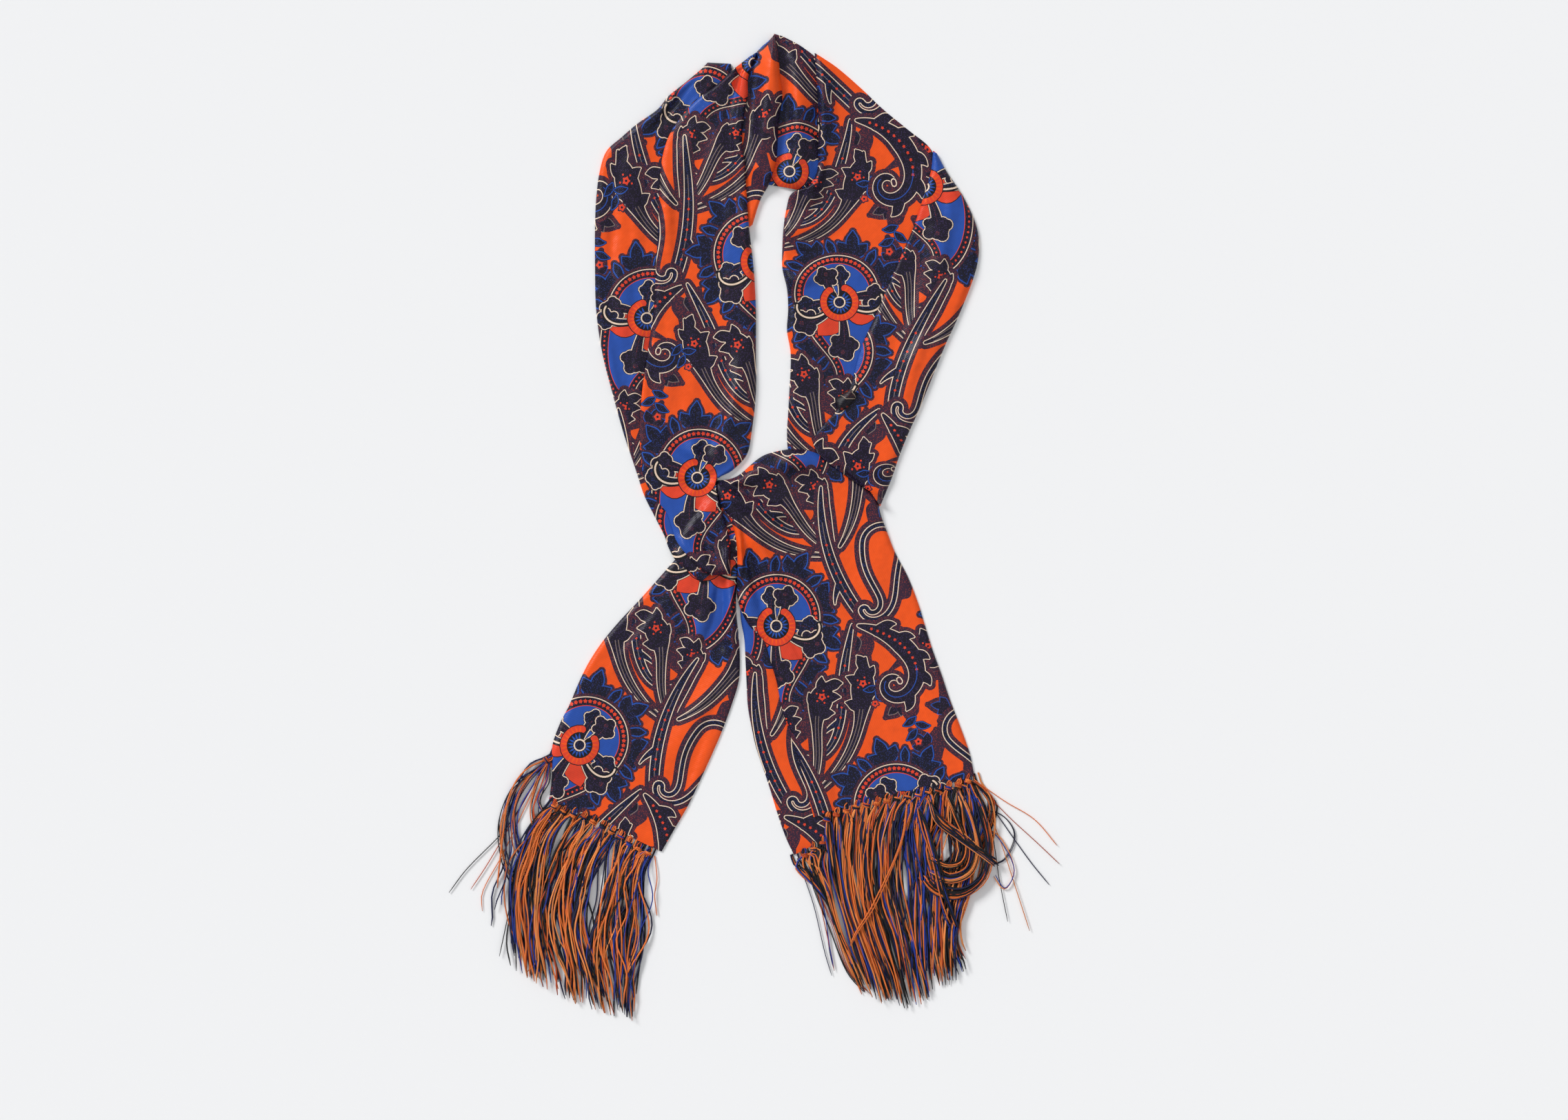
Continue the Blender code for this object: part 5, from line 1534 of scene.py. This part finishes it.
def tie(item, forms, material, rng):
    """One fringe: its bundles, knots, loops over the hem, and loose strands."""

    def top_at(point):
        heights = [STRAND_REST]
        for name in item.below:
            corners, weights, gaps = locate(forms[name], [point])
            if gaps[0] < HEM_REACH:
                heights.append(float(read(forms[name].tops, corners, weights)[0]))
        return max(heights)

    knots = along_line(np.array(KNOTS[item.name], float), KNOT_PITCH)[0]
    down = item.sections[1, 1] - item.sections[0, 1]
    down /= np.linalg.norm(down)
    strands, dyes = hung_strands(item, knots, down, rng, top_at)
    strands += lone_strands(item, rng, top_at)
    wraps, loops = knot_wraps(knots, down, rng, top_at), hem_loops(knots, down, rng, top_at)
    for _, count, *_, mix in LOCKS[item.name]:
        dyes += list(pick_dyes(rng, mix, count))
    dyes_of = [dyes, pick_dyes(rng, KNOT_MIX, len(wraps)), pick_dyes(rng, KNOT_MIX, len(loops))]
    groups = [
        tubes(*zip(*strands), STRAND_SIDES, (0.0, 0.0, 1.0)),
        tubes(wraps, KNOT_YARN, KNOT_SIDES, (*down, 0.02)),
        tubes(loops, LOOP_YARN, KNOT_SIDES, (0.0, 0.0, 1.0)),
    ]
    points, faces, uvs, shades = [], [], [], []
    total = 0
    for (spots, quads, corner_uvs, owners, caps), given in zip(groups, dyes_of):
        colours = np.array([yarn_colour(rng, dye) for dye in given])
        points.append(spots)
        faces += (quads + total).tolist() + (caps + total).tolist()
        uvs += [corner_uvs, np.zeros((caps.size, 2))]
        at_caps = np.repeat(np.vstack([colours] * 2), caps.shape[1], axis=0)
        shades += [np.repeat(colours[owners], 4, axis=0), at_caps]
        total += len(spots)
    piece = mesh_piece(item.name + "_yarn", np.vstack(points), faces, material)
    piece.data.shade_smooth()
    paint(piece.data, "print", np.vstack(shades))
    unwrap(piece.data, np.vstack(uvs))
    return piece


# The scene
def add_object(name, data):
    made = bpy.data.objects.new(name, data)
    bpy.context.scene.collection.objects.link(made)
    return made


def set_stage():
    """The table, a large soft key from the upper left, a weak fill, pale surroundings, and the camera."""
    mesh = bpy.data.meshes.new("table")
    half = TABLE_SIZE / 2
    corners = [(-half, -half, 0), (half, -half, 0), (half, half, 0), (-half, half, 0)]
    mesh.from_pydata(corners, [], [(0, 1, 2, 3)])
    mesh.materials.append(table_material())
    add_object("table", mesh)
    for name, place, strength, size in LAMPS:
        lamp = bpy.data.lights.new(name, "SUN")
        lamp.energy = strength
        lamp.angle = math.radians(size)
        holder = add_object(name, lamp)
        holder.location = place
        holder.rotation_euler = (-Vector(place)).to_track_quat("-Z", "Y").to_euler()
    scene = bpy.context.scene
    scene.world = bpy.data.worlds.new("pale_room")
    scene.world.use_nodes = True
    fill_inputs(scene.world.node_tree.nodes["Background"], {"Color": ROOM_COLOUR, "Strength": ROOM_LIGHT})
    scene.camera = add_object("camera", bpy.data.cameras.new("camera"))
    scene.camera.data.sensor_width = SENSOR
    scene.camera.data.lens = SENSOR * CAMERA_PLACE[2] / VIEW_WIDTH
    scene.camera.location = CAMERA_PLACE
    scene.view_settings.view_transform = "Standard"


def cut_of(plan):
    """Width, length and area, in metres, of the cloth of a stretch as its plan lays it out."""
    width = np.linalg.norm(np.diff(plan, axis=1), axis=2).sum(axis=1).max() * MM
    length = np.linalg.norm(np.diff(plan[:, plan.shape[1] // 2], axis=0), axis=1).sum() * MM
    cells = np.cross(plan[1:, 1:] - plan[:-1, :-1], plan[1:, :-1] - plan[:-1, 1:])
    return (width, length), min(0.5 * np.abs(cells).sum() * MM * MM, width * length)


def place_piece(piece, node, slot):
    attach(piece, "root")
    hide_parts(node)
    return piece


def main():
    set_stage()
    rng = np.random.default_rng(SEED)
    silk, yarn = silk_material(), yarn_material()
    half = half_block()
    halves = (half, turned_over(half))
    printed, reverse = palette_of(1.0), palette_of(BACK_DIM)
    stretches = items_of(Stretch, STRETCHES)
    forms, pieces = {}, {}
    for name, corners in CORES.items():
        edge = np.array(corners, float)
        forms[name] = core_form(edge)
        pieces[name] = place_piece(core_piece(name, edge, silk), name, "silk_back")
    for item in stretches:
        forms[item.name] = lay(item, [forms[name] for name in item.below])
        palette, slot = (reverse, "silk_back") if item.name == TURNED else (printed, "silk_print")
        piece = dress(item, forms[item.name], halves, silk, palette)
        pieces[item.name] = place_piece(piece, item.name, slot)
    for item in items_of(Fringe, FRINGES):
        pieces[item.name] = place_piece(tie(item, forms, yarn, rng), item.name, "fringe_silk")
    for item in stretches:
        flat, area = cut_of(forms[item.name].plan)
        rests_on = [pieces[name].name for name in item.below] or ["table"]
        piece = pieces[item.name]


main()
